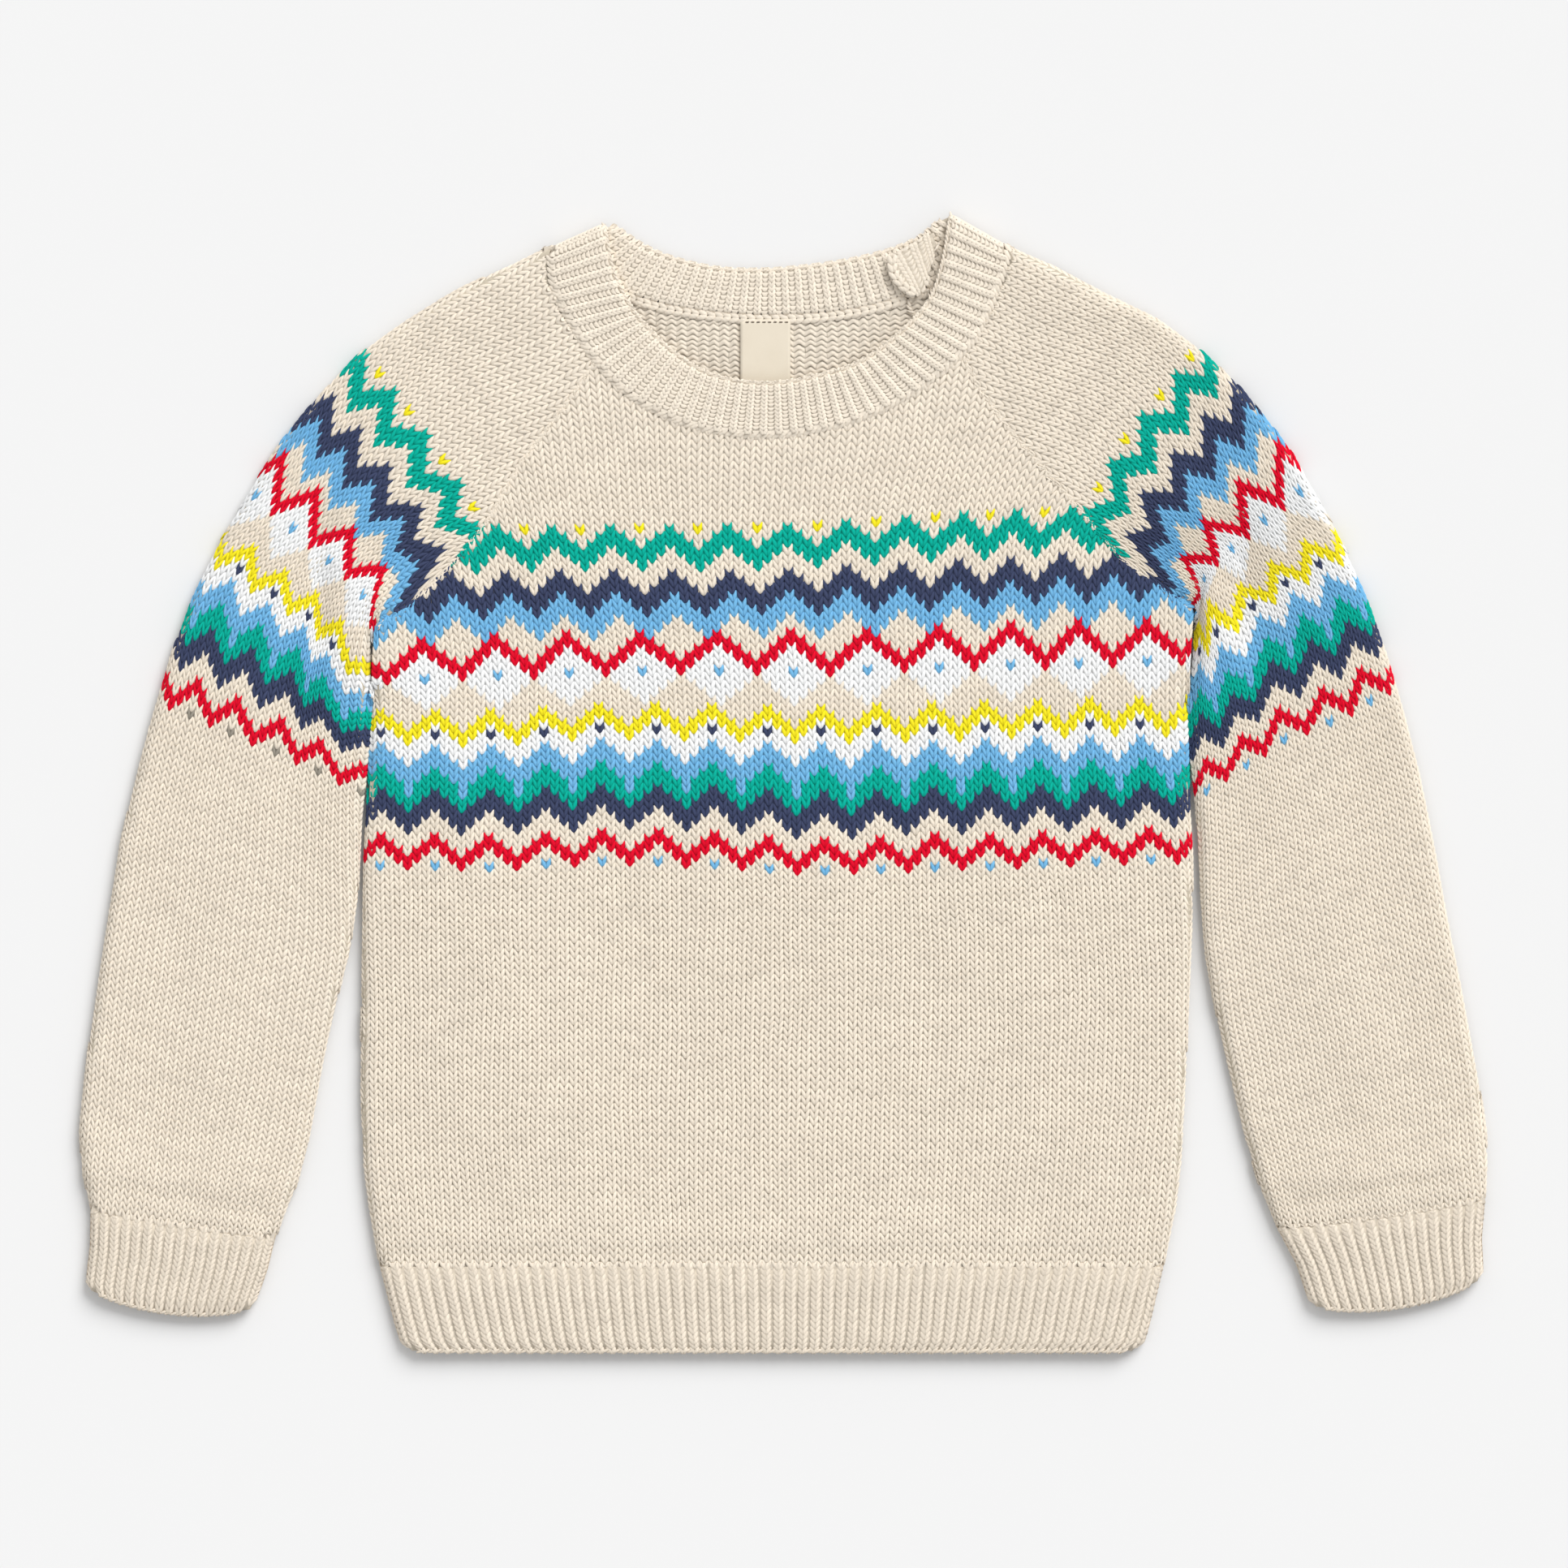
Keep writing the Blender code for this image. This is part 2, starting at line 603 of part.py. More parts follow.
def build_placket(collection, rib):
    """The end of the neckband that laps over the inside of the back, a flat outline with rounded edges."""
    outline = bpy.data.curves.new("placket_end", "CURVE")
    outline.dimensions = "2D"
    outline.fill_mode = "BOTH"
    outline.extrude = (PLACKET_THICKNESS / 2 - PLACKET_ROUNDING) * MILLIMETRE
    outline.bevel_depth = PLACKET_ROUNDING * MILLIMETRE
    outline.bevel_resolution = 1
    outline.offset = -PLACKET_ROUNDING * MILLIMETRE
    spline = outline.splines.new("POLY")
    spline.points.add(len(PLACKET_OUTLINE) - 1)
    for point, (x, y) in zip(spline.points, PLACKET_OUTLINE):
        point.co = (x * MILLIMETRE, y * MILLIMETRE, 0.0, 1.0)
    spline.use_cyclic_u = True
    outline.materials.append(rib)
    placket = bpy.data.objects.new("placket_end", outline)
    underside = BAND_CLOTH + RIB_RELIEF + SEAM_GAP
    placket.location.z = (underside + PLACKET_THICKNESS / 2) * MILLIMETRE
    collection.objects.link(placket)


def build_label(collection, ribbon):
    """The care label, which lies on the inside of the back below the neck seam."""
    size = Vector((LABEL_WIDTH, LABEL_LENGTH, LABEL_THICKNESS)) * MILLIMETRE
    middle_y = LABEL_TOP_Y - LABEL_LENGTH / 2
    middle_z = CLOTH + SEAM_GAP + LABEL_THICKNESS / 2
    mesh = bmesh.new()
    bmesh.ops.create_cube(mesh, size=1.0)
    bmesh.ops.scale(mesh, vec=size, verts=mesh.verts)
    data = bpy.data.meshes.new("care_label")
    mesh.to_mesh(data)
    mesh.free()
    data.materials.append(ribbon)
    label = bpy.data.objects.new("care_label", data)
    label.location = Vector((LABEL_MIDDLE_X, middle_y, middle_z)) * MILLIMETRE
    collection.objects.link(label)


def main():
    for thing in list(bpy.data.objects):
        bpy.data.objects.remove(thing)
    collection = bpy.data.collections.new("fair_isle_jumper")
    bpy.context.scene.collection.children.link(collection)
    knit = cloth_material("cream_knit", COTTON_CREAM)
    rib = cloth_material("cream_rib", COTTON_CREAM)
    ribbon = cloth_material("label_ribbon", LABEL_IVORY)
    build_body(collection, knit, rib)
    build_sleeve(collection, knit, rib, "right", RIGHT_SLEEVE, RIGHT_CUFF, wearers_right=True)
    build_sleeve(collection, knit, rib, "left", LEFT_SLEEVE, LEFT_CUFF, wearers_right=False)
    build_neckband(collection, rib)
    build_placket(collection, rib)
    build_label(collection, ribbon)


main()
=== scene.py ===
"""The looks of a child's fair isle jumper, laid flat and face up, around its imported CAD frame.

Each CAD node gets a thin knitted shell of its own form, and on the shell lie the real stitches: every stitch is
two legs of yarn that make a V. The stitches lie on a lattice of courses (rows) and wales (columns). Short
tables give the places of a few wales on some courses, and the rest lie on smooth curves through them. Heights
are read from the CAD nodes. Sizes are in millimetres, in the frame's axes, until a mesh is made.
"""

import math
from collections import namedtuple

import bmesh
import bpy
import numpy as np
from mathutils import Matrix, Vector
from mathutils.bvhtree import BVHTree


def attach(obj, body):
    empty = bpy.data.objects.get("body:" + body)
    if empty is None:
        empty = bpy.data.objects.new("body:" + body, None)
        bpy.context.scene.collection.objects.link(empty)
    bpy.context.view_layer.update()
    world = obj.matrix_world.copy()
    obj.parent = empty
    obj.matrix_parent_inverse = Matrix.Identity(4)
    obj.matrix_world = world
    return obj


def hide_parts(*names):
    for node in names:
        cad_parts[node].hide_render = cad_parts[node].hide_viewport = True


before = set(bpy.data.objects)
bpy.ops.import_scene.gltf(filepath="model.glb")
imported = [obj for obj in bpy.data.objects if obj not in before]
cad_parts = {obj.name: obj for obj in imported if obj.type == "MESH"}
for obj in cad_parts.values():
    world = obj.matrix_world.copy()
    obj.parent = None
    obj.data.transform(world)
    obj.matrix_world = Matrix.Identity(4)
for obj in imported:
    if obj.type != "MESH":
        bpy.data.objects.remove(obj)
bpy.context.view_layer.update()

MM = 0.001
BODY = "root"
random = np.random.default_rng(7)

# The space between the cloth's two layers, and the level at which its folds reach furthest out.
LOWER_TOP, UPPER_FLOOR = 2.4, 3.6
FOLD_LEVEL, FOLD_TOLERANCE = 3.15, 0.4
# How far stitches reach over the rim of a cut. Their level is read this far inside it, and lies a little lower.
RIM_OVER, RIM_REACH, RIM_DROP = 0.95, 1.0, 0.15
# How far they reach over a fold, and how much further where sleeve and body touch, below the underarm.
FOLD_OVER, TOUCH_OVER = 0.3, 1.5
TOUCH_X = (146.0, 166.0)
TOUCH_Y, TOUCH_REACH = 42.0, 52.0
# How deep under the CAD's surface lie the stitches' feet, above and on the underside, and the shell. The
# shell's underside lies UNDER_LIFT times deeper, under flatter stitches.
STITCH_SINK, UNDER_SINK = 0.78, 1.0
SHELL_SINK, UNDER_LIFT = 0.86, 1.28
# A shell's longer edges are halved, at most so many times, so that it follows the creases. Where its normal's
# height is below the last of these, a vertex is on the underside.
SHELL_EDGE, MOST_HALVINGS, FACES_DOWN = 11.0, 4, -0.5
# Stitches on the underside stay this far over the ground.
LEAST_LEVEL = 0.02


def add_object(name, data):
    made = bpy.data.objects.new(name, data)
    bpy.context.scene.collection.objects.link(made)
    return made


def rows_of(kind, *rows):
    """A table: a named tuple of one kind for each row."""
    return [kind(*row) for row in rows]


# --- Yarns and the fair isle chart ---

# A yarn's linear colour, and the share by which it varies from fibre to fibre.
Yarn = namedtuple("Yarn", "name colour melange")
YARNS = [
    Yarn("cream", (0.905, 0.810, 0.680), 0.12),
    Yarn("green", (0.000, 0.450, 0.345), 0.05),
    Yarn("navy", (0.053, 0.068, 0.140), 0.12),
    Yarn("light_blue", (0.190, 0.500, 0.800), 0.05),
    Yarn("red", (0.800, 0.002, 0.026), 0.03),
    Yarn("yellow", (0.970, 0.840, 0.020), 0.04),
    Yarn("white", (0.950, 0.955, 0.955), 0.03),
    Yarn("grey", (0.330, 0.300, 0.250), 0.10),
    # The same cream in the ribs of hem and cuffs, a shade darker: painted shade, as over their deep grooves.
    Yarn("shaded_rib_cream", (0.850, 0.752, 0.625), 0.12),
]
YARN = {yarn.name: number for number, yarn in enumerate(YARNS)}
# The share of its colour that a yarn shows down its sides, as painted shade, and the colours of the cloth
# between stitches: cream darkened as painted shade for the holes between them.
SIDE_SHADE = 0.70
SHADED_GROUND, SHADED_RIB_GROUND = (0.60, 0.53, 0.42), (0.72, 0.635, 0.515)

# The zigzag bands of the chart. At a peak wale a band starts on its first course and is as many courses deep as
# rows says. It lies a course lower with each wale from the peak. Peaks repeat every period wales.
Zigzag = namedtuple("Zigzag", "yarn first rows peak period")
ZIGZAGS = rows_of(
    Zigzag,
    ("green", 0, 3, 3, 6), ("navy", 6, 3, 3, 6), ("light_blue", 9, 3, 3, 6), ("red", 14, 2, 3, 8),
    ("yellow", 24, 2, 0, 6), ("white", 26, 3, 0, 6), ("light_blue", 29, 3, 0, 6), ("green", 32, 3, 0, 6),
    ("navy", 35, 3, 0, 6), ("red", 41, 2, 0, 6),
)  # fmt: skip
# White diamonds hang from the peaks of the first red zigzag.
DIAMOND_FIRST, DIAMOND_LAST, DIAMOND_PEAK, DIAMOND_PERIOD = 16, 23, 3, 8
# In its valleys the lower light blue reaches one course into the green.
DEEP_VALLEY_COURSE = 35
# Single stitches.
Tick = namedtuple("Tick", "yarn course wale period")
TICKS = rows_of(
    Tick,
    ("yellow", 0, 0, 6), ("light_blue", 19, 3, 8), ("navy", 27, 0, 6), ("light_blue", 45, 0, 6),
)  # fmt: skip


def from_peak(wale, peak, period):
    """How many wales a wale is from the nearest peak."""
    apart = (wale - peak) % period
    return np.minimum(apart, period - apart)


def chart(course, wale, last_tick):
    """The yarn of each stitch, for arrays of courses and wales. The last row of ticks has a yarn of its own."""
    yarn = np.full(course.shape, YARN["cream"])
    for band in ZIGZAGS:
        depth = course - band.first - from_peak(wale, band.peak, band.period)
        yarn[(depth >= 0) & (depth < band.rows)] = YARN[band.yarn]
    valley = from_peak(wale, 0, 6) == 3
    yarn[valley & (course == DEEP_VALLEY_COURSE)] = YARN["light_blue"]
    aside = from_peak(wale, DIAMOND_PEAK, DIAMOND_PERIOD)
    yarn[(course >= DIAMOND_FIRST + aside) & (course <= DIAMOND_LAST - aside)] = YARN["white"]
    for tick in TICKS:
        shown = last_tick if tick is TICKS[-1] else tick.yarn
        yarn[(course == tick.course) & ((wale - tick.wale) % tick.period == 0)] = YARN[shown]
    return yarn


# --- Where courses and wales lie ---

# The places of some wales on one course, in the order of the wales' numbers. Course 0 is the first of the
# pattern, and the numbers grow downwards.
Guide = namedtuple("Guide", "course x y")

BODY_WALES = (-42, -30, -18, -6, 6, 18, 30, 42)
# fmt: off
BODY_GUIDES = rows_of(
    Guide,
    (-26, (-193.3, -140.1, -86.9, -33.7, 19.5, 72.7, 125.9, 179.1),
     (171.1, 171.3, 171.5, 171.9, 172.6, 173.7, 175.0, 176.4)),
    (-12, (-180.2, -131.1, -82.0, -32.9, 16.2, 65.3, 114.4, 163.5),
     (132.1, 132.1, 132.2, 132.7, 133.9, 136.4, 139.0, 141.1)),
    (0, (-163.9, -120.6, -77.5, -32.6, 13.0, 58.0, 99.9, 141.8),
     (97.6, 97.8, 97.9, 97.8, 99.2, 101.9, 104.4, 106.9)),
    (19, (-155.0, -112.4, -71.6, -28.1, 14.5, 56.3, 96.8, 135.7),
     (39.6, 41.6, 43.2, 43.6, 43.5, 44.8, 46.1, 47.0)),
    (27, (-153.8, -111.9, -70.2, -27.1, 14.7, 56.8, 97.2, 136.5),
     (19.7, 19.3, 21.5, 21.3, 20.3, 21.5, 22.5, 23.3)),
    (45, (-154.0, -112.3, -69.2, -26.4, 16.0, 58.1, 99.6, 140.2),
     (-30.9, -31.1, -29.3, -30.3, -32.9, -31.3, -30.2, -28.8)),
    (62, (-153.1, -111.7, -69.1, -26.6, 16.1, 58.9, 101.7, 142.3),
     (-74.1, -74.7, -74.6, -74.5, -74.2, -73.8, -73.4, -72.5)),
    (85, (-152.8, -112.1, -69.6, -27.1, 15.4, 58.0, 100.5, 141.4),
     (-133.6, -133.9, -133.8, -133.7, -133.5, -133.3, -133.1, -132.4)),
    (104, (-149.3, -109.5, -68.1, -26.7, 14.6, 56.0, 97.4, 137.2), (-183.5,) * 8),
)
# fmt: on
# The stretches that are knitted: wales, and courses. The pattern ends above the body's plain stretch, and the
# back starts higher up than the front.
BODY_RANGE = (-45, 49)
BODY_FIRST, BACK_FIRST, PATTERN_END, BODY_LAST = -26, -36, 47, 105

SLEEVE_WALES = (0, 6, 12, 18, 25)
# fmt: off
RIGHT_SLEEVE_GUIDES = rows_of(
    Guide,
    (-20, (-104.5, -90.0, -76.8, -64.8, -50.8), (188.5, 169.3, 148.9, 127.4, 102.3)),
    (0, (-154.1, -142.9, -129.6, -118.1, -104.7), (157.0, 142.2, 124.1, 105.6, 84.0)),
    (6, (-166.8, -156.4, -144.4, -133.2, -127.0), (141.4, 128.5, 112.9, 97.3, 79.0)),
    (9, (-172.8, -162.8, -151.7, -141.0, -142.0), (132.4, 120.6, 106.7, 93.0, 67.0)),
    (12, (-178.7, -168.8, -158.5, -148.5, -149.5), (123.3, 112.4, 100.1, 88.5, 62.0)),
    (15, (-184.4, -174.5, -164.6, -154.5, -154.5), (114.2, 104.2, 93.3, 83.0, 60.0)),
    (19, (-192.2, -181.7, -171.6, -161.6, -156.0), (102.9, 93.6, 84.0, 74.3, 55.0)),
    (27, (-207.7, -194.2, -180.9, -172.2, -154.0), (82.5, 73.3, 64.6, 53.8, 36.0)),
    (45, (-226.3, -210.8, -193.8, -177.6, -158.7), (27.0, 20.8, 13.0, 5.3, -3.7)),
    (73, (-238.4, -220.2, -201.0, -180.7, -157.0), (-45.3, -52.1, -58.6, -64.8, -72.0)),
    (92, (-244.3, -225.9, -206.7, -186.6, -163.2), (-94.2, -100.4, -106.1, -111.3, -117.4)),
    (119, (-251.1, -233.7, -216.1, -198.1, -177.1), (-164.3, -167.4, -170.2, -172.7, -175.6)),
)
LEFT_SLEEVE_GUIDES = rows_of(
    Guide,
    (-20, (104.5, 90.4, 77.3, 65.1, 50.9), (191.3, 173.7, 154.9, 134.8, 111.4)),
    (0, (155.2, 143.4, 130.5, 119.9, 107.5), (163.2, 148.5, 131.7, 113.3, 91.8)),
    (6, (166.5, 155.0, 143.0, 133.2, 132.5), (146.8, 133.4, 118.3, 102.6, 83.5)),
    (9, (171.5, 160.0, 149.0, 141.0, 143.5), (137.2, 124.4, 111.0, 97.0, 76.0)),
    (12, (176.3, 164.8, 155.0, 148.0, 151.0), (127.2, 115.2, 103.5, 91.5, 72.0)),
    (15, (181.2, 170.0, 161.2, 154.5, 156.0), (117.5, 106.6, 96.8, 87.0, 70.5)),
    (19, (188.4, 177.8, 169.4, 161.5, 158.5), (105.4, 96.9, 89.2, 80.5, 68.0)),
    (24, (198.7, 185.8, 174.6, 162.5, 158.5), (92.2, 84.0, 75.5, 69.5, 60.0)),
    (27, (204.5, 191.1, 179.2, 165.4, 157.5), (84.3, 76.9, 68.1, 58.3, 50.0)),
    (45, (223.6, 208.6, 191.1, 176.5, 159.5), (32.0, 24.0, 17.1, 7.4, -3.9)),
    (73, (238.7, 220.7, 202.2, 183.2, 161.0), (-40.3, -46.7, -53.2, -59.8, -67.5)),
    (92, (248.3, 229.9, 210.9, 191.3, 168.4), (-90.8, -95.6, -100.2, -104.8, -110.2)),
    (119, (257.3, 239.1, 221.7, 204.9, 185.3), (-160.6, -163.9, -166.5, -168.3, -170.4)),
)
# fmt: on
SLEEVE_RANGE, SLEEVE_COURSES = (-9, 29), (-34, 121)
# How far above its number a course starts.
COURSE_RISE = 0.3

# Uneven tension: slow waves that move the stitches sideways, by at most the first number.
TENSION = 0.34
TENSION_WAVES = [(0.11, 0.07, 0.4), (-0.05, 0.16, 2.1), (0.23, -0.12, 4.0), (0.31, 0.27, 1.3)]

# The ribs: the hem's and the cuffs' cross lines from seam to edge, as in the frame, each bowed down in its
# middle.
Edge = namedtuple("Edge", "left_x left_y right_x right_y bow")
HEM_EDGES = rows_of(
    Edge,
    (-154.4, -184.0, 145.6, -184.0, 0.0), (-149.0, -205.5, 140.6, -205.5, 0.0), (-146.6, -213.5, 138.4, -213.5, 0.0),
    (-143.0, -217.5, 134.4, -217.5, 0.0),
)  # fmt: skip
RIGHT_CUFF_EDGES = rows_of(
    Edge,
    (-265.0, -162.5, -194.0, -173.5, 0.9), (-265.3, -177.0, -197.0, -186.0, 1.8),
    (-267.0, -191.0, -201.0, -197.5, 3.4), (-265.8, -194.0, -202.8, -201.5, 5.2),
)  # fmt: skip
LEFT_CUFF_EDGES = rows_of(
    Edge,
    (188.5, -169.5, 268.5, -158.5, 1.5), (196.0, -184.0, 267.3, -174.0, 2.2), (200.5, -197.5, 268.0, -187.0, 3.6),
    (202.6, -200.5, 266.5, -190.5, 5.3),
)  # fmt: skip
HEM_RIBS, CUFF_RIBS, RIB_COURSES, UNDER_RIB_COURSES = 60, 15, 16, 12
FOLD_REACH = 3.5

# The neckband: places on its seam and on its top edge, from the wearer's right to the left, as in the frame.
Band = namedtuple("Band", "seam_x seam_y top_x top_y")
NECK_FRONT = rows_of(
    Band,
    (-88.5, 205.5, -68.5, 214.5), (-88.5, 201.5, -67.5, 210.5), (-87.0, 189.0, -64.5, 195.5),
    (-80.5, 176.0, -58.0, 182.0), (-71.5, 162.0, -52.0, 174.5), (-56.0, 147.0, -42.0, 165.0),
    (-32.5, 136.5, -26.5, 156.0), (-4.5, 133.5, -4.5, 153.0), (23.0, 138.0, 17.5, 157.0), (46.5, 148.0, 32.5, 163.0),
    (68.0, 164.5, 48.5, 176.0), (76.5, 177.5, 56.5, 186.5), (82.5, 193.0, 61.0, 201.0), (85.0, 202.0, 63.0, 213.5),
    (85.5, 206.0, 64.0, 218.3),
)  # fmt: skip
NECK_BACK = rows_of(
    Band,
    (-88.5, 205.5, -68.5, 214.5), (-85.0, 203.5, -64.5, 213.0), (-68.0, 191.5, -54.0, 206.0),
    (-51.0, 184.5, -42.5, 201.0), (-29.5, 180.5, -25.0, 197.0), (-4.5, 179.0, -4.5, 196.5),
    (21.5, 180.5, 18.5, 199.0), (42.0, 185.0, 35.5, 202.5), (62.0, 192.0, 50.5, 208.0), (82.0, 204.0, 60.5, 216.0),
    (85.5, 206.0, 64.0, 218.3),
)  # fmt: skip
FRONT_RIBS, BACK_RIBS = 41, 30
FRONT_BAND_COURSES, BACK_BAND_COURSES, UNDER_BAND_COURSES = 14, 10, 9
BAND_FOLD_REACH = 3.8
CURVE_STEPS = 6

# The raglan seams, from the neck to the underarm.
RIGHT_RAGLAN = [
    (-71.5, 162.0), (-78.5, 151.0), (-88.5, 137.5), (-101.0, 121.5),
    (-113.0, 100.0), (-127.5, 82.5), (-142.5, 68.0), (-155.5, 60.0),
]  # fmt: skip
LEFT_RAGLAN = [
    (68.0, 164.5), (75.0, 150.0), (86.0, 135.5), (100.5, 119.0),
    (115.0, 102.5), (128.0, 86.5), (142.5, 76.0), (156.5, 67.0),
]  # fmt: skip
RIGHT_BACK_RAGLAN = [
    (-68.0, 191.5), (-77.0, 176.5), (-87.0, 160.5), (-99.0, 140.0),
    (-112.0, 117.0), (-127.0, 93.5), (-141.5, 72.0), (-155.5, 60.0),
]  # fmt: skip
LEFT_BACK_RAGLAN = [
    (62.0, 192.0), (73.5, 176.5), (85.0, 160.0), (99.5, 139.0),
    (114.0, 117.5), (127.5, 96.5), (141.5, 80.0), (156.5, 67.0),
]  # fmt: skip

# The creases: soft ridges, or with a negative height troughs, along lines in plan.
Crease = namedtuple("Crease", "start_x start_y end_x end_y width height")
UPPER_CREASES = rows_of(
    Crease,
    (-160.0, 71.0, -159.0, 30.0, 3.2, -0.7), (158.5, 77.0, 156.5, 33.0, 3.2, -0.7),
    (-176.5, 107.0, -177.0, 55.0, 3.0, -0.55), (174.5, 102.0, 175.5, 62.0, 3.0, -0.5),
    (-183.0, 118.0, -196.0, 60.0, 7.0, 0.5), (182.0, 120.0, 193.0, 62.0, 7.0, 0.5),
    (-120.0, 30.0, -100.0, -120.0, 20.0, 0.45), (30.0, 60.0, 44.0, -80.0, 18.0, -0.35),
    (-60.0, -60.0, -48.0, -160.0, 16.0, -0.3), (110.0, -60.0, 98.0, -165.0, 15.0, -0.35),
    (-230.0, -60.0, -240.0, -150.0, 9.0, -0.4), (232.0, -70.0, 238.0, -148.0, 9.0, -0.4),
    (-258.0, -154.0, -200.0, -164.0, 3.5, -0.45), (262.0, -150.0, 196.0, -160.0, 3.5, -0.45),
    (-150.0, -180.0, 140.0, -180.0, 3.5, -0.3),
)  # fmt: skip
LOWER_CREASES = rows_of(
    Crease,
    (-110.0, 60.0, -86.0, -120.0, 16.0, 0.7), (-20.0, 100.0, 8.0, -60.0, 14.0, 0.5),
    (96.0, 40.0, 76.0, -150.0, 18.0, 0.7), (-205.0, 60.0, -228.0, -120.0, 8.0, 0.6),
    (204.0, 66.0, 230.0, -116.0, 8.0, 0.6), (-60.0, 150.0, -110.0, 90.0, 10.0, 0.5),
    (64.0, 150.0, 112.0, 94.0, 10.0, 0.5),
)  # fmt: skip


def smooth_through(at, knots, values):
    """Values on a smooth curve through the knots, straight past its ends."""
    at, knots = np.asarray(at, float), np.asarray(knots, float)
    slopes = np.gradient(values, knots, axis=0)
    index = np.clip(np.searchsorted(knots, at) - 1, 0, len(knots) - 2)
    span = knots[index + 1] - knots[index]
    inside = np.clip(at, knots[0], knots[-1])
    t = ((inside - knots[index]) / span)[:, None]
    span = span[:, None]
    here, there = values[index], values[index + 1]
    leave, arrive = slopes[index] * span, slopes[index + 1] * span
    curve = here + leave * t + (3 * (there - here) - 2 * leave - arrive) * t**2
    curve += (2 * (here - there) + leave + arrive) * t**3
    end_slope = np.where((at < knots[0])[:, None], slopes[0], slopes[-1])
    return curve + end_slope * (at - inside)[:, None]


def uneven(places):
    """Moves places in plan a little, as yarn of uneven tension does."""
    x, y = places[..., 0], places[..., 1]
    moved = places.copy()
    for number, (along, across, phase) in enumerate(TENSION_WAVES):
        share = TENSION / (number + 1.5)
        moved[..., 0] += share * np.sin(along * x + across * y + phase)
        moved[..., 1] += share * np.cos(across * x - along * y + 2 * phase)
    return moved


def lattice_places(guides, wales, course_edges, wale_edges):
    """The lattice's nodes in plan: an array of courses by wales by (x, y)."""
    courses = [guide.course for guide in guides]
    on_guides = [smooth_through(wale_edges, wales, np.array([guide.x, guide.y]).T) for guide in guides]
    flat = smooth_through(course_edges, courses, np.array([row.ravel() for row in on_guides]))
    return uneven(flat.reshape(len(course_edges), len(wale_edges), 2))


def crease_height(creases, x, y):
    """How far the creases lift the cloth at these places."""
    total = np.zeros(np.shape(x))
    for crease in creases:
        along = np.array((crease.end_x - crease.start_x, crease.end_y - crease.start_y))
        from_x, from_y = x - crease.start_x, y - crease.start_y
        share = np.clip((from_x * along[0] + from_y * along[1]) / (along @ along), 0.0, 1.0)
        apart = np.hypot(from_x - along[0] * share, from_y - along[1] * share)
        total += crease.height * np.exp(-((apart / crease.width) ** 2))
    return total


def settled(points):
    """Points of the cloth with its creases added: the upper layer has its own, and so has the lower one."""
    x, y, z = points[..., 0], points[..., 1], points[..., 2]
    upper = np.clip((z - LOWER_TOP) / (UPPER_FLOOR - LOWER_TOP), 0.0, 1.0)
    lift = upper * crease_height(UPPER_CREASES, x, y) + (1.0 - upper) * crease_height(LOWER_CREASES, x, y)
    moved = points.copy()
    moved[..., 2] = z + lift
    return moved


# Rays start this far over the cloth, or under it.
RAY_START = 50.0


class Side:
    """The upper or the lower face of CAD nodes, onto which stitches are laid, none of them above the level most."""

    def __init__(self, *nodes, lower=False, most=None):
        vertices, faces = [], []
        for node in nodes:
            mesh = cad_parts[node].data
            start = len(vertices)
            vertices += [vertex.co / MM for vertex in mesh.vertices]
            faces += [[start + corner for corner in face.vertices] for face in mesh.polygons]
        self.tree = BVHTree.FromPolygons(vertices, faces)
        self.away, self.sink = (-1.0, UNDER_SINK) if lower else (1.0, STITCH_SINK)
        self.most = most

    def hit(self, x, y):
        """The side's point over a place, if it has one."""
        far = RAY_START * self.away
        return self.tree.ray_cast(Vector((x, y, far)), Vector((0.0, 0.0, -self.away)))[0]

    def edge(self, x, y):
        """The nearest place on the node's edge: the outside of a fold, or the rim of a cut."""
        near = self.tree.find_nearest(Vector((x, y, FOLD_LEVEL)))[0]
        inward = Vector((near.x - x, near.y - y, 0.0))
        if inward.length < 1e-6:
            return near
        inward.normalize()
        if abs(near.z - FOLD_LEVEL) <= FOLD_TOLERANCE:
            touch = max(0.0, 1.0 - ((near.y - TOUCH_Y) / TOUCH_REACH) ** 2)
            touch *= TOUCH_X[0] < abs(near.x) < TOUCH_X[1]
            return near - (FOLD_OVER + TOUCH_OVER * touch) * inward
        rim = self.hit(near.x + RIM_REACH * inward.x, near.y + RIM_REACH * inward.y)
        level = near.z if rim is None else rim.z - RIM_DROP * self.away
        return Vector((near.x - RIM_OVER * inward.x, near.y - RIM_OVER * inward.y, level))

    def lay(self, places):
        """The places' points on this side, and whether each is inside its outline."""
        flat = places.reshape(-1, 2)
        points, inside = np.empty((len(flat), 3)), np.empty(len(flat), bool)
        for number, (x, y) in enumerate(flat):
            hit = self.hit(x, y)
            inside[number] = hit is not None
            points[number] = hit if inside[number] else self.edge(x, y)
            if self.most is not None:
                points[number, 2] = min(points[number, 2], self.most)
        return points.reshape(*places.shape[:-1], 3), inside.reshape(places.shape[:-1])


# --- Materials ---

# Cloth and paper shine little.
SPECULAR, SHEEN_ROUGHNESS = 0.12, 0.5


def new_material(name, roughness, sheen):
    material = bpy.data.materials.new(name)
    material.use_nodes = True
    tree = material.node_tree
    shader = tree.nodes["Principled BSDF"]
    shader.inputs["Roughness"].default_value = roughness
    shader.inputs["Specular IOR Level"].default_value = SPECULAR
    shader.inputs["Sheen Weight"].default_value = sheen
    shader.inputs["Sheen Roughness"].default_value = SHEEN_ROUGHNESS
    return material, tree, shader


def put(tree, socket, value):
    """Links another node's output to a socket, or sets the socket's own value."""
    if isinstance(value, bpy.types.NodeSocket):
        tree.links.new(value, socket)
    else:
        socket.default_value = value


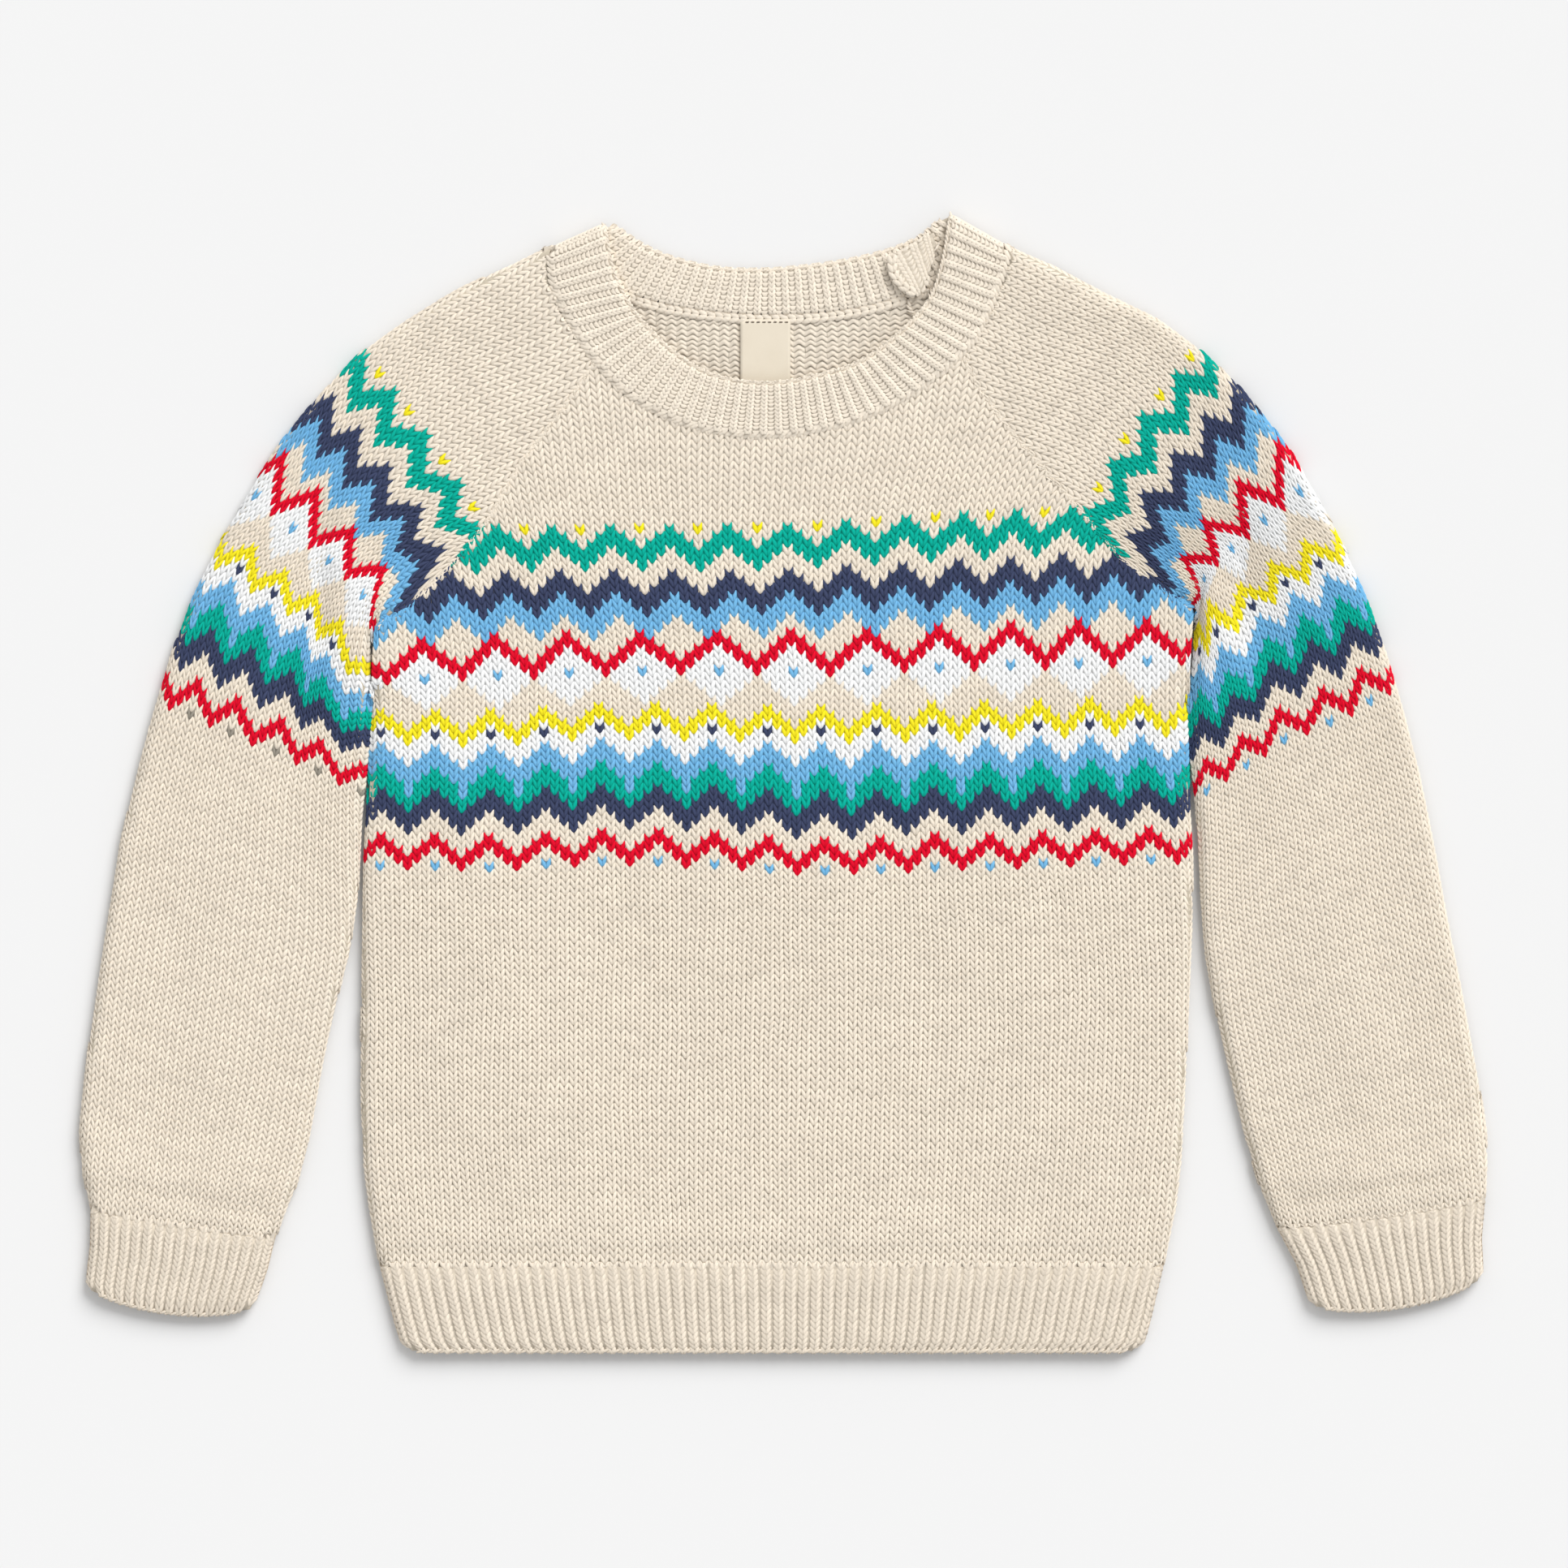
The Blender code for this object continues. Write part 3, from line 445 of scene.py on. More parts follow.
def add_node(tree, kind, **inputs):
    """A new shader node, with the inputs of these names."""
    node = tree.nodes.new("ShaderNode" + kind)
    for name, value in inputs.items():
        put(tree, node.inputs[name.replace("_", " ").title()], value)
    return node


def object_places(tree):
    return add_node(tree, "TexCoord").outputs["Object"]


def uv_layer(tree, name):
    node = add_node(tree, "UVMap")
    node.uv_map = name
    return node.outputs["UV"]


def noise(tree, vector, scale, detail):
    return add_node(tree, "TexNoise", scale=scale, detail=detail, vector=vector).outputs["Fac"]


def wave_texture(tree, vector, direction, scale, distortion):
    node = add_node(tree, "TexWave", scale=scale, distortion=distortion, vector=vector)
    node.bands_direction = direction
    return node.outputs["Fac"]


def spread(tree, value, low, high):
    """Stretches a noise's middle values to 0 and 1."""
    return add_node(tree, "MapRange", from_min=low, from_max=high, value=value).outputs["Result"]


def bump(tree, height, strength, distance, **below):
    return add_node(tree, "Bump", strength=strength, distance=distance, height=height, **below).outputs["Normal"]


def mix_colours(tree, factor, *colours):
    """Blends two colours, each of them three numbers or another node's output."""
    node = add_node(tree, "Mix")
    node.data_type = "RGBA"
    for socket, colour in zip((socket for socket in node.inputs if socket.type == "RGBA"), colours):
        put(tree, socket, colour if isinstance(colour, bpy.types.NodeSocket) else (*colour, 1.0))
    put(tree, node.inputs["Factor"], factor)
    return next(socket for socket in node.outputs if socket.type == "RGBA")


def math_node(tree, operation, *values):
    node = add_node(tree, "Math")
    node.operation = operation
    for socket, value in zip(node.inputs, values):
        put(tree, socket, value)
    return node.outputs[0]


# Sizes of detail, as the noises' scales in the part's metres, and the depth of the bumps in metres.
FIBRE_SCALE, THREAD_SCALE, CLOUD_SCALE, RIBBON_CLOUD_SCALE, PAPER_SCALE = 1400.0, 2500.0, 500.0, 120.0, 40.0
PLY_DEPTH, FUZZ_DEPTH, CLOUD_DEPTH, WEAVE_DEPTH = 0.00012, 0.00015, 0.0004, 0.00005
# The waves of a yarn's twist and of a ribbon's weft: their scale and how much they wander. A yarn's painted
# shade darkens it towards its sides with this power of the distance.
TWIST, WEAVE, SIDE_POWER = (1.1, 0.8), (700.0, 0.4), 1.6


def yarn_material(yarn):
    """Spun cotton: streaks and fibres of uneven colour, painted shade that darkens it down its sides, the twist
    of its plies and a little fuzz."""
    material, tree, shader = new_material("yarn_" + yarn.name, 0.9, 0.06)
    strand = uv_layer(tree, "strand")
    fibres = noise(tree, object_places(tree), FIBRE_SCALE, 2.0)
    streaks = noise(tree, uv_layer(tree, "streak"), 1.0, 1.0)
    shade = math_node(tree, "ADD", spread(tree, fibres, 0.2, 0.8), spread(tree, streaks, 0.3, 0.7))
    dark = [channel * (1.0 - yarn.melange) for channel in yarn.colour]
    light = [min(1.0, channel * (1.0 + 0.5 * yarn.melange)) for channel in yarn.colour]
    crown = mix_colours(tree, spread(tree, shade, 0.3, 1.7), dark, light)

    # Painted shade: the colour darkens from the crown towards the strand's sides, down to SIDE_SHADE of it.
    across = math_node(tree, "FRACT", add_node(tree, "SeparateXYZ", vector=strand).outputs["X"])
    aside = math_node(tree, "MULTIPLY", math_node(tree, "ABSOLUTE", math_node(tree, "SUBTRACT", across, 0.5)), 2.0)
    shaded = [channel * SIDE_SHADE for channel in yarn.colour]
    colour = mix_colours(tree, math_node(tree, "POWER", aside, SIDE_POWER), crown, shaded)
    tree.links.new(colour, shader.inputs["Base Color"])

    plies = bump(tree, wave_texture(tree, strand, "DIAGONAL", *TWIST), 0.3, PLY_DEPTH)
    tree.links.new(bump(tree, fibres, 0.3, FUZZ_DEPTH, normal=plies), shader.inputs["Normal"])
    return material


def shade_material(name, colour):
    """The cloth deep between its stitches, which little light reaches: its darkened cream is painted shade."""
    material, tree, shader = new_material(name, 1.0, 0.0)
    cloudy = noise(tree, object_places(tree), CLOUD_SCALE, 2.0)
    darker = [0.75 * channel for channel in colour]
    tree.links.new(mix_colours(tree, spread(tree, cloudy, 0.3, 0.7), darker, colour), shader.inputs["Base Color"])
    tree.links.new(bump(tree, cloudy, 0.4, CLOUD_DEPTH), shader.inputs["Normal"])
    return material


def floor_material():
    material, tree, shader = new_material("floor_paper", 0.9, 0.0)
    grain = noise(tree, object_places(tree), PAPER_SCALE, 2.0)
    colour = mix_colours(tree, grain, (0.823, 0.823, 0.823), (0.827, 0.827, 0.827))
    tree.links.new(colour, shader.inputs["Base Color"])
    return material


def ribbon_material():
    """The label's woven satin ribbon: fine weft lines and a soft sheen."""
    material, tree, shader = new_material("label_satin", 0.55, 0.3)
    where = object_places(tree)
    weave = wave_texture(tree, where, "Y", *WEAVE)
    colour = mix_colours(tree, noise(tree, where, RIBBON_CLOUD_SCALE, 2.0), (0.74, 0.66, 0.53), (0.80, 0.72, 0.59))
    tree.links.new(colour, shader.inputs["Base Color"])
    tree.links.new(bump(tree, weave, 0.12, WEAVE_DEPTH), shader.inputs["Normal"])
    return material


YARN_MATERIALS = [yarn_material(yarn) for yarn in YARNS]

# --- Stitches ---

# A stitch's form within its cell of the lattice: places across (u) and down (v) the cell, heights over the
# stitches' feet, each point's place along and across its strand, and its triangles.
# A point's place across its strand sets how much painted shade the yarn's material gives it.
Template = namedtuple("Template", "u v height strand faces")


def template_of(points, faces):
    """A template from its points, each with its place across, down, its height and its place on the strand."""
    return Template(*(np.array(values) for values in (*zip(*points), faces)))


def strip_faces(starts):
    """The triangles from rows of three points to the rows after them, from the numbers of their first points."""
    return [face for near in starts for a in (near, near + 1) for face in ((a, a + 3, a + 4), (a, a + 4, a + 1))]


# The rings of a leg, between its two pointed ends: the share along it, its width, its crown's height and its
# edges'.
Ring = namedtuple("Ring", "along width crown edge")
FINE_LEG = rows_of(
    Ring, (0.13, 0.78, 0.84, 0.26), (0.37, 1.0, 1.0, 0.30), (0.63, 0.97, 0.92, 0.25), (0.87, 0.64, 0.60, 0.10)
)
PLAIN_LEG = [Ring(0.45, 1.0, 1.0, 0.25)]
LEG_FOOT_HEIGHT, LEG_TIP_HEIGHT, BACKING_HEIGHT = 0.10, 0.0, 0.02
# How much of the strand's twist runs along a leg or a wave, and along half a purl bump.
LEG_TWIST, BUMP_TWIST = 1.6, 0.8


def leg_template(side, rings, form):
    """One leg of a V, a leaf-shaped piece of yarn from the foot, near the cell's middle, up to the tip."""
    points, rows = [], []
    for ring in (Ring(0.0, 0.0, LEG_FOOT_HEIGHT, 0.0), *rings, Ring(1.0, 0.0, LEG_TIP_HEIGHT, 0.0)):
        middle = 0.5 + side * (form.foot + (form.tip - form.foot) * ring.along)
        down = form.start + (form.end - form.start) * ring.along
        across = (0,) if ring.width == 0.0 else (-1, 0, 1)
        rows.append(range(len(points), len(points) + len(across)))
        for step in across:
            u = middle + step * form.half_width * ring.width
            raised = form.crest * math.cos(math.pi * min(0.5, abs(u - 0.5)))
            height = form.thickness * (ring.edge if step else ring.crown) + raised
            points.append((u, down, height, (0.5 + step * side * form.shade / 2, LEG_TWIST * ring.along)))
    first, last = rows[1], rows[-2]
    faces = [(rows[0][0], first[1], first[0]), (rows[0][0], first[2], first[1])]
    for near, far in zip(rows[1:-2], rows[2:-1]):
        for column in (0, 1):
            a, b, c, d = near[column], near[column + 1], far[column + 1], far[column]
            faces += [(a, b, c), (a, c, d)]
    faces += [(rows[-1][0], last[0], last[1]), (rows[-1][0], last[1], last[2])]
    return template_of(points, faces)


def backing_template():
    """The yarn that shows between the legs, deep down."""
    u, v = np.array([-0.02, 1.02, 1.02, -0.02]), np.array([-0.02, -0.02, 1.02, 1.02])
    # Its strand's place across is 0, so the yarn's material gives it the full painted shade of its sides.
    strand = np.stack([np.zeros(4), v], axis=1)
    return Template(u, v, np.full(4, BACKING_HEIGHT), strand, np.array([(3, 2, 1), (3, 1, 0)]))


# A purl bump's height along its edges, and at its pointed ends, as shares of its thickness.
PURL_EDGE, PURL_END = 0.30, 0.35


def arc_template(middle, half_span, sag, half_width, thickness, shade):
    """A purl bump: a short tube of yarn across the cell, pointed at both ends, that sags in its middle."""
    points = []
    for step in (-1.0, -0.5, 0.0, 0.5, 1.0):
        taper = math.sqrt(max(0.0, 1.0 - step * step))
        for across in (0,) if abs(step) == 1.0 else (-1, 0, 1):
            down = 0.5 + sag * (1.0 - 2.0 * step * step) + across * half_width * taper
            height = thickness * (PURL_EDGE if across else 1.0) * (PURL_END + (1.0 - PURL_END) * taper)
            points.append((middle + step * half_span, down, height, (0.5 + across * shade / 2, BUMP_TWIST * step)))
    return template_of(points, [(0, 1, 2), (0, 2, 3), (10, 8, 7), (10, 9, 8), *strip_faces((1, 4))])


# The stations of a purl row's wave, across a cell, its crown's height, and the share by which it rises and sinks.
WAVE_STEPS, PURL_CROWN, WAVE_DIP = 6, 0.90, 0.42


def purl_template(swing, half_width, thickness):
    """A stitch seen from inside the garment: one wave of a yarn that swings between the rows."""
    points = []
    for step in range(WAVE_STEPS + 1):
        along = step / WAVE_STEPS
        wave = math.cos(2.0 * math.pi * along)
        for across in (-1, 0, 1):
            down = 0.5 + swing * wave + across * half_width
            height = thickness * (PURL_EDGE if across else PURL_CROWN) * (1.0 - WAVE_DIP * wave)
            points.append((along, down, height, (0.5 + across / 2, LEG_TWIST * along)))
    return template_of(points, strip_faces(range(0, 3 * WAVE_STEPS, 3)))


def joined(*templates):
    """One template of several."""
    parts, start = [], 0
    for template in templates:
        parts.append(template.faces + start)
        start += len(template.u)
    return Template(*(np.concatenate([t[k] for t in templates]) for k in range(4)), np.concatenate(parts))


# Where a leg's foot and tip lie, across and down the cell, its half width, its thickness in millimetres and how
# far a rib's crest stands over its sides. The shade is how far painted shade darkens the leg towards its sides.
Form = namedtuple("Form", "foot tip start end half_width thickness crest shade")
KNIT_FORM = Form(0.035, 0.44, 1.30, -0.29, 0.222, 0.98, 0.0, 1.0)
HEM_FORM = Form(0.06, 0.36, 1.28, -0.28, 0.200, 0.45, 0.0, 1.0)
BAND_FORM = Form(0.05, 0.22, 1.30, -0.30, 0.135, 0.58, 0.10, 0.7)
CHAIN_FORM = Form(0.06, 0.32, 1.10, -0.20, 0.23, 0.9, 0.20, 0.8)
ROPE_FORM = Form(-0.34, 0.34, 1.35, -0.35, 0.30, 0.9, 0.0, 0.8)


def v_template(form, rings, *others):
    """The two legs of a V, and what else lies in their cell."""
    return joined(*(leg_template(side, rings, form) for side in (-1, 1)), *others)


PATTERN_STITCH = v_template(KNIT_FORM, FINE_LEG, backing_template())
PLAIN_STITCH = v_template(KNIT_FORM, FINE_LEG)
UNDER_STITCH = v_template(KNIT_FORM, PLAIN_LEG)
HEM_STITCH = v_template(HEM_FORM, FINE_LEG)
BAND_STITCH, BAND_PURL = v_template(BAND_FORM, FINE_LEG), arc_template(0.0, 0.25, 0.20, 0.50, 0.62, 0.7)
UNDER_RIB_STITCH = v_template(HEM_FORM._replace(crest=0.0), PLAIN_LEG)
PURL_STITCH = purl_template(0.26, 0.45, 0.88)
ROPE_STITCH = leg_template(1, FINE_LEG, ROPE_FORM)
CHAIN_STITCH = v_template(CHAIN_FORM, FINE_LEG)
TAPE = backing_template()


def make_mesh(name, points, faces, materials, material_of_face, uv_layers):
    """A piece of the garment from points in millimetres and triangles."""
    mesh = bpy.data.meshes.new(name)
    mesh.vertices.add(len(points))
    mesh.vertices.foreach_set("co", (points * MM).astype(np.float32).ravel())
    mesh.loops.add(faces.size)
    mesh.loops.foreach_set("vertex_index", faces.astype(np.int32).ravel())
    mesh.polygons.add(len(faces))
    mesh.polygons.foreach_set("loop_start", np.arange(0, faces.size, 3, dtype=np.int32))
    mesh.polygons.foreach_set("use_smooth", np.ones(len(faces), bool))
    for material in materials:
        mesh.materials.append(material)
    mesh.polygons.foreach_set("material_index", material_of_face.astype(np.int32))
    for layer_name, places in uv_layers.items():
        layer = mesh.uv_layers.new(name=layer_name)
        layer.data.foreach_set("uv", places[faces.ravel()].astype(np.float32).ravel())
    mesh.update(calc_edges=True)
    mesh.validate()
    piece = add_object(name, mesh)
    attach(piece, BODY)
    return piece


# A yarn's colour varies slowly along a course, and anew on each: steps of the noise's plane for a stitch and for
# a course. Its twist starts at another whole number, below the last of these, on each stitch.
STREAK_SHARE, STREAK_STEP, TWIST_STARTS = 0.33, 3.7, 9


def lattice_normals(points, away):
    """The way out of the cloth at each node of a lattice."""
    across = np.gradient(points, axis=1)
    down = np.gradient(points, axis=0)
    normals = np.cross(across, down)
    length = np.linalg.norm(normals, axis=2, keepdims=True)
    normals = normals / np.maximum(length, 1e-9)
    turned = np.sign(normals[..., 2:3] * away)
    turned[turned == 0.0] = 1.0
    return normals * turned


# A cell cut by a panel's edge and squashed to less than this share of a whole one is left out.
LEAST_AREA = 0.12


def cell_areas(lattice):
    """The areas of the lattice's cells in plan."""
    one, other = lattice[1:, 1:] - lattice[:-1, :-1], lattice[1:, :-1] - lattice[:-1, 1:]
    return np.abs(one[..., 0] * other[..., 1] - one[..., 1] * other[..., 0]) / 2


# How far the end of a leg drops for each course that it would reach past a folded or rolled edge.
TUCK_DROP = 3.0
# How unevenly stitches lie in their cells, as shares of a cell and of their height.
UNEVEN_ACROSS, UNEVEN_DOWN, UNEVEN_HEIGHT = 0.012, 0.03, 0.05


def stitch_points(side, lattice, cells, template, tucked, places):
    """The points of all stitches: each cell's four corners, blended by the template's places. At a tucked end,
    the first or the last course, the legs bend down over the edge. Where the lattice's places in plan are given,
    the stitches follow the side between the corners too."""
    rows, columns = cells
    corners = [(rows, columns), (rows, columns + 1), (rows + 1, columns), (rows + 1, columns + 1)]
    u = template.u[None, :] + random.normal(0.0, UNEVEN_ACROSS, (len(rows), 1))
    v = template.v[None, :] + random.normal(0.0, UNEVEN_DOWN, (len(rows), 1))
    height = template.height[None, :] * (1.0 + random.normal(0.0, UNEVEN_HEIGHT, (len(rows), 1))) - side.sink
    least = np.where(rows == 0, 0.0, -math.inf)[:, None] if "first" in tucked else -math.inf
    most = np.where(rows == lattice.shape[0] - 2, 1.0, math.inf)[:, None] if "last" in tucked else math.inf
    kept = np.clip(v, least, most)
    height = height - TUCK_DROP * np.abs(v - kept)
    v = kept
    weights = ((1 - u) * (1 - v), u * (1 - v), (1 - u) * v, u * v)

    def blended(nodes):
        return sum(w[..., None] * nodes[corner][:, None, :] for w, corner in zip(weights, corners))

    points, outward = blended(lattice), blended(lattice_normals(lattice, side.away))
    if places is not None:
        points = settled(side.lay(blended(places))[0])
    outward /= np.maximum(np.linalg.norm(outward, axis=2, keepdims=True), 1e-9)
    points += outward * height[..., None]
    points[..., 2] = np.maximum(points[..., 2], LEAST_LEVEL)
    return points


def stitches(
    name, side, lattice, inside, template, yarn_of_cell, slot="cream_knit", tucked=(), places=None, least=2
):
    """One piece of stitches, on each cell of a lattice with at least so many corners inside the cloth's outline."""
    count = inside[:-1, :-1].astype(int) + inside[:-1, 1:] + inside[1:, :-1] + inside[1:, 1:]
    area = cell_areas(lattice)
    cells = np.nonzero((count == 4) | (count >= least) & (area > LEAST_AREA * np.median(area[count == 4])))
    points = stitch_points(side, lattice, cells, template, tucked, places)
    number, size = points.shape[:2]
    faces = (template.faces[None] + (np.arange(number) * size)[:, None, None]).reshape(-1, 3)
    if side.away < 0:
        faces = faces[:, ::-1]
    strands = template.strand[None] + random.integers(0, TWIST_STARTS, (number, 1, 2))
    rows, columns = cells
    streaks = np.empty((number, size, 2))
    streaks[..., 0] = STREAK_SHARE * (columns[:, None] + template.u[None])
    streaks[..., 1] = STREAK_STEP * rows[:, None]
    yarns = np.repeat(yarn_of_cell[cells], len(template.faces))
    used = np.unique(yarns)
    materials = [YARN_MATERIALS[yarn] for yarn in used]
    uvs = {"strand": strands.reshape(-1, 2), "streak": streaks.reshape(-1, 2)}
    piece = make_mesh(name, points.reshape(-1, 3), faces, materials, np.searchsorted(used, yarns), uvs)
    return piece


def knit(name, side, guides, wales, course_range, wale_range, template, last_tick="light_blue"):
    """A stretch of stocking stitch, coloured from the chart."""
    course, wale = np.arange(*course_range), np.arange(*wale_range)
    course_edges = np.append(course, course[-1] + 1) - COURSE_RISE
    wale_edges = np.append(wale, wale[-1] + 1) - 0.5
    lattice, inside = side.lay(lattice_places(guides, wales, course_edges, wale_edges))
    yarn = chart(*np.meshgrid(course, wale, indexing="ij"), last_tick)
    return stitches(name, side, settled(lattice), inside, template, yarn, least=1 if side.away > 0 else 2)


def one_yarn(lattice, yarn="cream"):
    return np.full((lattice.shape[0] - 1, lattice.shape[1] - 1), YARN[yarn])


# --- Ribs, chains and the inside of the back ---


# How far ribs reach under the cloth above, in courses, and over the neckband's top, as a share of its depth. The
# sides of a hem or cuff are carried on above its seam by a share of its depth.
RIB_OVERLAP, BAND_OVERHANG, SIDE_OVERHANG = 0.25, 0.05, 0.1


def bowed(bow, share):
    """How far a line bowed by so much in its middle lies from a straight one, at a share of its length."""
    return 4.0 * bow * share * (1.0 - share)


def edge_rib_places(edges, ribs, courses):
    """The lattice of a hem or cuff: a column for each rib and one more round each fold. It starts a little
    under the cloth above."""
    levels = np.linspace(-RIB_OVERLAP, courses, courses + 1) / courses
    lines = np.array(edges, float)
    drop = np.hypot(np.diff(lines[:, 0]), np.diff(lines[:, 1]))
    measure = np.concatenate([[0.0], np.cumsum(drop)]) / drop.sum()
    above = lines[0] - (lines[1] - lines[0]) / (measure[1] - measure[0]) * SIDE_OVERHANG
    measure, lines = np.concatenate([[-SIDE_OVERHANG], measure]), np.concatenate([above[None], lines])
    shares = np.arange(-1, ribs + 2) / ribs
    places = np.empty((len(levels), len(shares), 2))
    for row, level in enumerate(levels):
        left_x, left_y, right_x, right_y, bow = (np.interp(level, measure, lines[:, k]) for k in range(5))
        across = np.array((right_x - left_x, right_y - left_y))
        length = np.hypot(*across)
        down = np.array((across[1], -across[0])) / length
        along = (FOLD_REACH + (length - 2 * FOLD_REACH) * shares) / length
        places[row] = np.array((left_x, left_y)) + along[:, None] * across + bowed(bow, along)[:, None] * down
    return places


def ribbed(name, side, places, knit_template, bump_template, tucked, yarn="cream"):
    """Ribbing on a lattice of one column for each rib: the knit columns and the purl bumps between them."""
    lattice, inside = side.lay(places)
    if side.most is not None:
        inside &= lattice[..., 2] < side.most
    lattice, yarns = settled(lattice), one_yarn(lattice, yarn)
    rest = ("cream_rib", tucked)
    pieces = [stitches(name + "_ribs", side, lattice, inside, knit_template, yarns, *rest, places)]
    if bump_template is not None:
        lattice, inside, places, yarns = (values[:, 1:] for values in (lattice, inside, places, yarns))
        pieces.append(stitches(name + "_purls", side, lattice, inside, bump_template, yarns, *rest, places))
    return pieces


def edge_rib(name, nodes, edges, ribs, lower):
    side = Side(*nodes, lower=lower)
    places = edge_rib_places(edges, ribs, UNDER_RIB_COURSES if lower else RIB_COURSES)
    return ribbed(name, side, places, UNDER_RIB_STITCH if lower else HEM_STITCH, None, ("last",), "shaded_rib_cream")


def curve_through(points):
    """A smooth line through the points, CURVE_STEPS steps a span."""
    points = np.asarray(points, float)
    spans = len(points) - 1
    return smooth_through(np.arange(spans * CURVE_STEPS + 1) / CURVE_STEPS, np.arange(spans + 1), points)


def run_lengths(line):
    """How far each of a line's points is along it."""
    return np.concatenate([[0.0], np.cumsum(np.hypot(*np.diff(line, axis=0).T))])


def read_line(line, measure, at):
    """The points of a line at some distances along it."""
    return np.stack([np.interp(at, measure, line[:, k]) for k in range(2)], axis=-1)


def lengthened(line, by):
    """A line with its ends carried on straight."""
    first, last = line[0] - line[1], line[-1] - line[-2]
    return np.concatenate([[line[0] + first * by / np.hypot(*first)], line, [line[-1] + last * by / np.hypot(*last)]])


# How far the neckband's lines are carried on past its folds.
BAND_PAST_FOLD = 6.0


def band_places(rows, ribs, shares, fold_reach):
    """The lattice of one half of the neckband, from its top edge down to its seam."""
    seam = np.array([(row.seam_x, row.seam_y) for row in rows])
    top = np.array([(row.top_x, row.top_y) for row in rows])
    seam_line, top_line = (lengthened(curve_through(line), BAND_PAST_FOLD) for line in (seam, top))
    middle = curve_through((seam + top) / 2)
    length = run_lengths(middle)[-1]
    measure = run_lengths(lengthened(middle, BAND_PAST_FOLD)) - BAND_PAST_FOLD
    at = fold_reach + (length - 2 * fold_reach) * np.arange(-1, ribs + 2) / ribs
    low, high = read_line(seam_line, measure, at), read_line(top_line, measure, at)
    return low[None] + (high - low)[None] * np.asarray(shares)[:, None, None]


# The back half's stitches end where the front half lies on it.
BACK_BAND_MOST = 5.2


def band_half(name, node, rows, ribs, courses, lower=False, fold_reach=BAND_FOLD_REACH, most=None):
    side = Side(node, lower=lower, most=most)
    places = band_places(rows, ribs, np.linspace(1.0 + BAND_OVERHANG, 0.0, courses + 1), fold_reach)
    templates = (UNDER_RIB_STITCH, None) if lower else (BAND_STITCH, BAND_PURL)
    return ribbed(name, side, places, *templates, ("first",))


# A chain lies on the highest of these places across it, as shares of its half width.
CHAIN_RIMS = (-1.2, 0.0, 1.2)


def chain(name, nodes, line, width, pitch, template, raise_by=0.0, lower=False, yarns=(), lean=0.0):
    """A seam's row of stitches along a line, over the small gaps and steps between the panels. It is cream, but
    below each of the given heights in y it has that yarn. It can lean down to its right-hand side."""
    line = curve_through(line)
    measure = run_lengths(line)
    count = max(2, round(measure[-1] / pitch))
    middle = read_line(line, measure, np.linspace(0.0, measure[-1], count + 1))
    heading = np.gradient(middle, axis=0)
    heading /= np.linalg.norm(heading, axis=1, keepdims=True)
    aside = np.stack([heading[:, 1], -heading[:, 0]], axis=1) * width / 2
    side = Side(*nodes, lower=lower)
    rims = np.stack([side.lay(middle + share * aside)[0] for share in CHAIN_RIMS])
    level = (rims[..., 2] * side.away).max(axis=0)
    for _ in range(2):
        level = np.convolve(np.pad(level, 1, mode="edge"), (0.25, 0.5, 0.25), mode="valid")
    lattice = np.empty((count + 1, 2, 3))
    lattice[:, 0, :2], lattice[:, 1, :2] = middle - aside, middle + aside
    lattice[..., 2] = ((level + raise_by)[:, None] - (0.0, lean)) * side.away
    yarn_of_cell = one_yarn(lattice)
    for below, yarn in yarns:
        yarn_of_cell[middle[1:, 1] < below] = YARN[yarn]
    inside = np.ones(lattice.shape[:2], bool)
    return stitches(name, side, settled(lattice), inside, template, yarn_of_cell)


# The inside of the back shows in the neck opening, as rows of purl bumps within half an oval.
PURL_WALE, PURL_COURSE, PURL_JITTER = 4.1, 2.03, 0.16
PURL_MIDDLE_X, PURL_TOP = -4.0, 183.5
PURL_COLUMNS, PURL_ROWS = (-18, 19), (-4, 22)
PURL_HALF_WIDTH, PURL_DEPTH = 80.0, 42.0


def inside_back():
    side = Side("back")
    columns = PURL_MIDDLE_X + PURL_WALE * np.arange(*PURL_COLUMNS)
    rows = PURL_TOP - PURL_COURSE * np.arange(*PURL_ROWS)
    places = np.stack(np.meshgrid(columns, rows), axis=-1)
    lattice, inside = side.lay(uneven(places + random.normal(0.0, PURL_JITTER, places.shape)))
    aside = (lattice[..., 0] - PURL_MIDDLE_X) / PURL_HALF_WIDTH
    down = (PURL_TOP - lattice[..., 1]) / PURL_DEPTH
    inside &= aside**2 + down**2 < 1.0
    return stitches("back_inside_stitches", side, settled(lattice), inside, PURL_STITCH, one_yarn(lattice))


# --- Shells ---


def shell(name, node, material, shrink=SHELL_SINK, longest=SHELL_EDGE):
    """The node's own form, a little thinner, with the garment's creases: the cloth under the stitches."""
    made = bmesh.new()
    made.from_mesh(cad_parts[node].data)
    bmesh.ops.remove_doubles(made, verts=made.verts, dist=1e-6)
    for _ in range(MOST_HALVINGS):
        long_edges = [edge for edge in made.edges if edge.calc_length() > longest * MM]
        if not long_edges:
            break
        bmesh.ops.subdivide_edges(made, edges=long_edges, cuts=1)
        bmesh.ops.triangulate(made, faces=made.faces)
    made.normal_update()
    for vertex in made.verts:
        vertex.co -= vertex.normal * shrink * (UNDER_LIFT if vertex.normal.z < FACES_DOWN else 1.0) * MM
    points = settled(np.array([vertex.co for vertex in made.verts]) / MM) * MM
    for vertex, point in zip(made.verts, points):
        vertex.co = point
    mesh = bpy.data.meshes.new(name)
    made.to_mesh(mesh)
    made.free()
    mesh.materials.append(material)
    mesh.shade_smooth()
    piece = add_object(name, mesh)
    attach(piece, BODY)
    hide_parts(node)
    return piece


# --- The garment ---

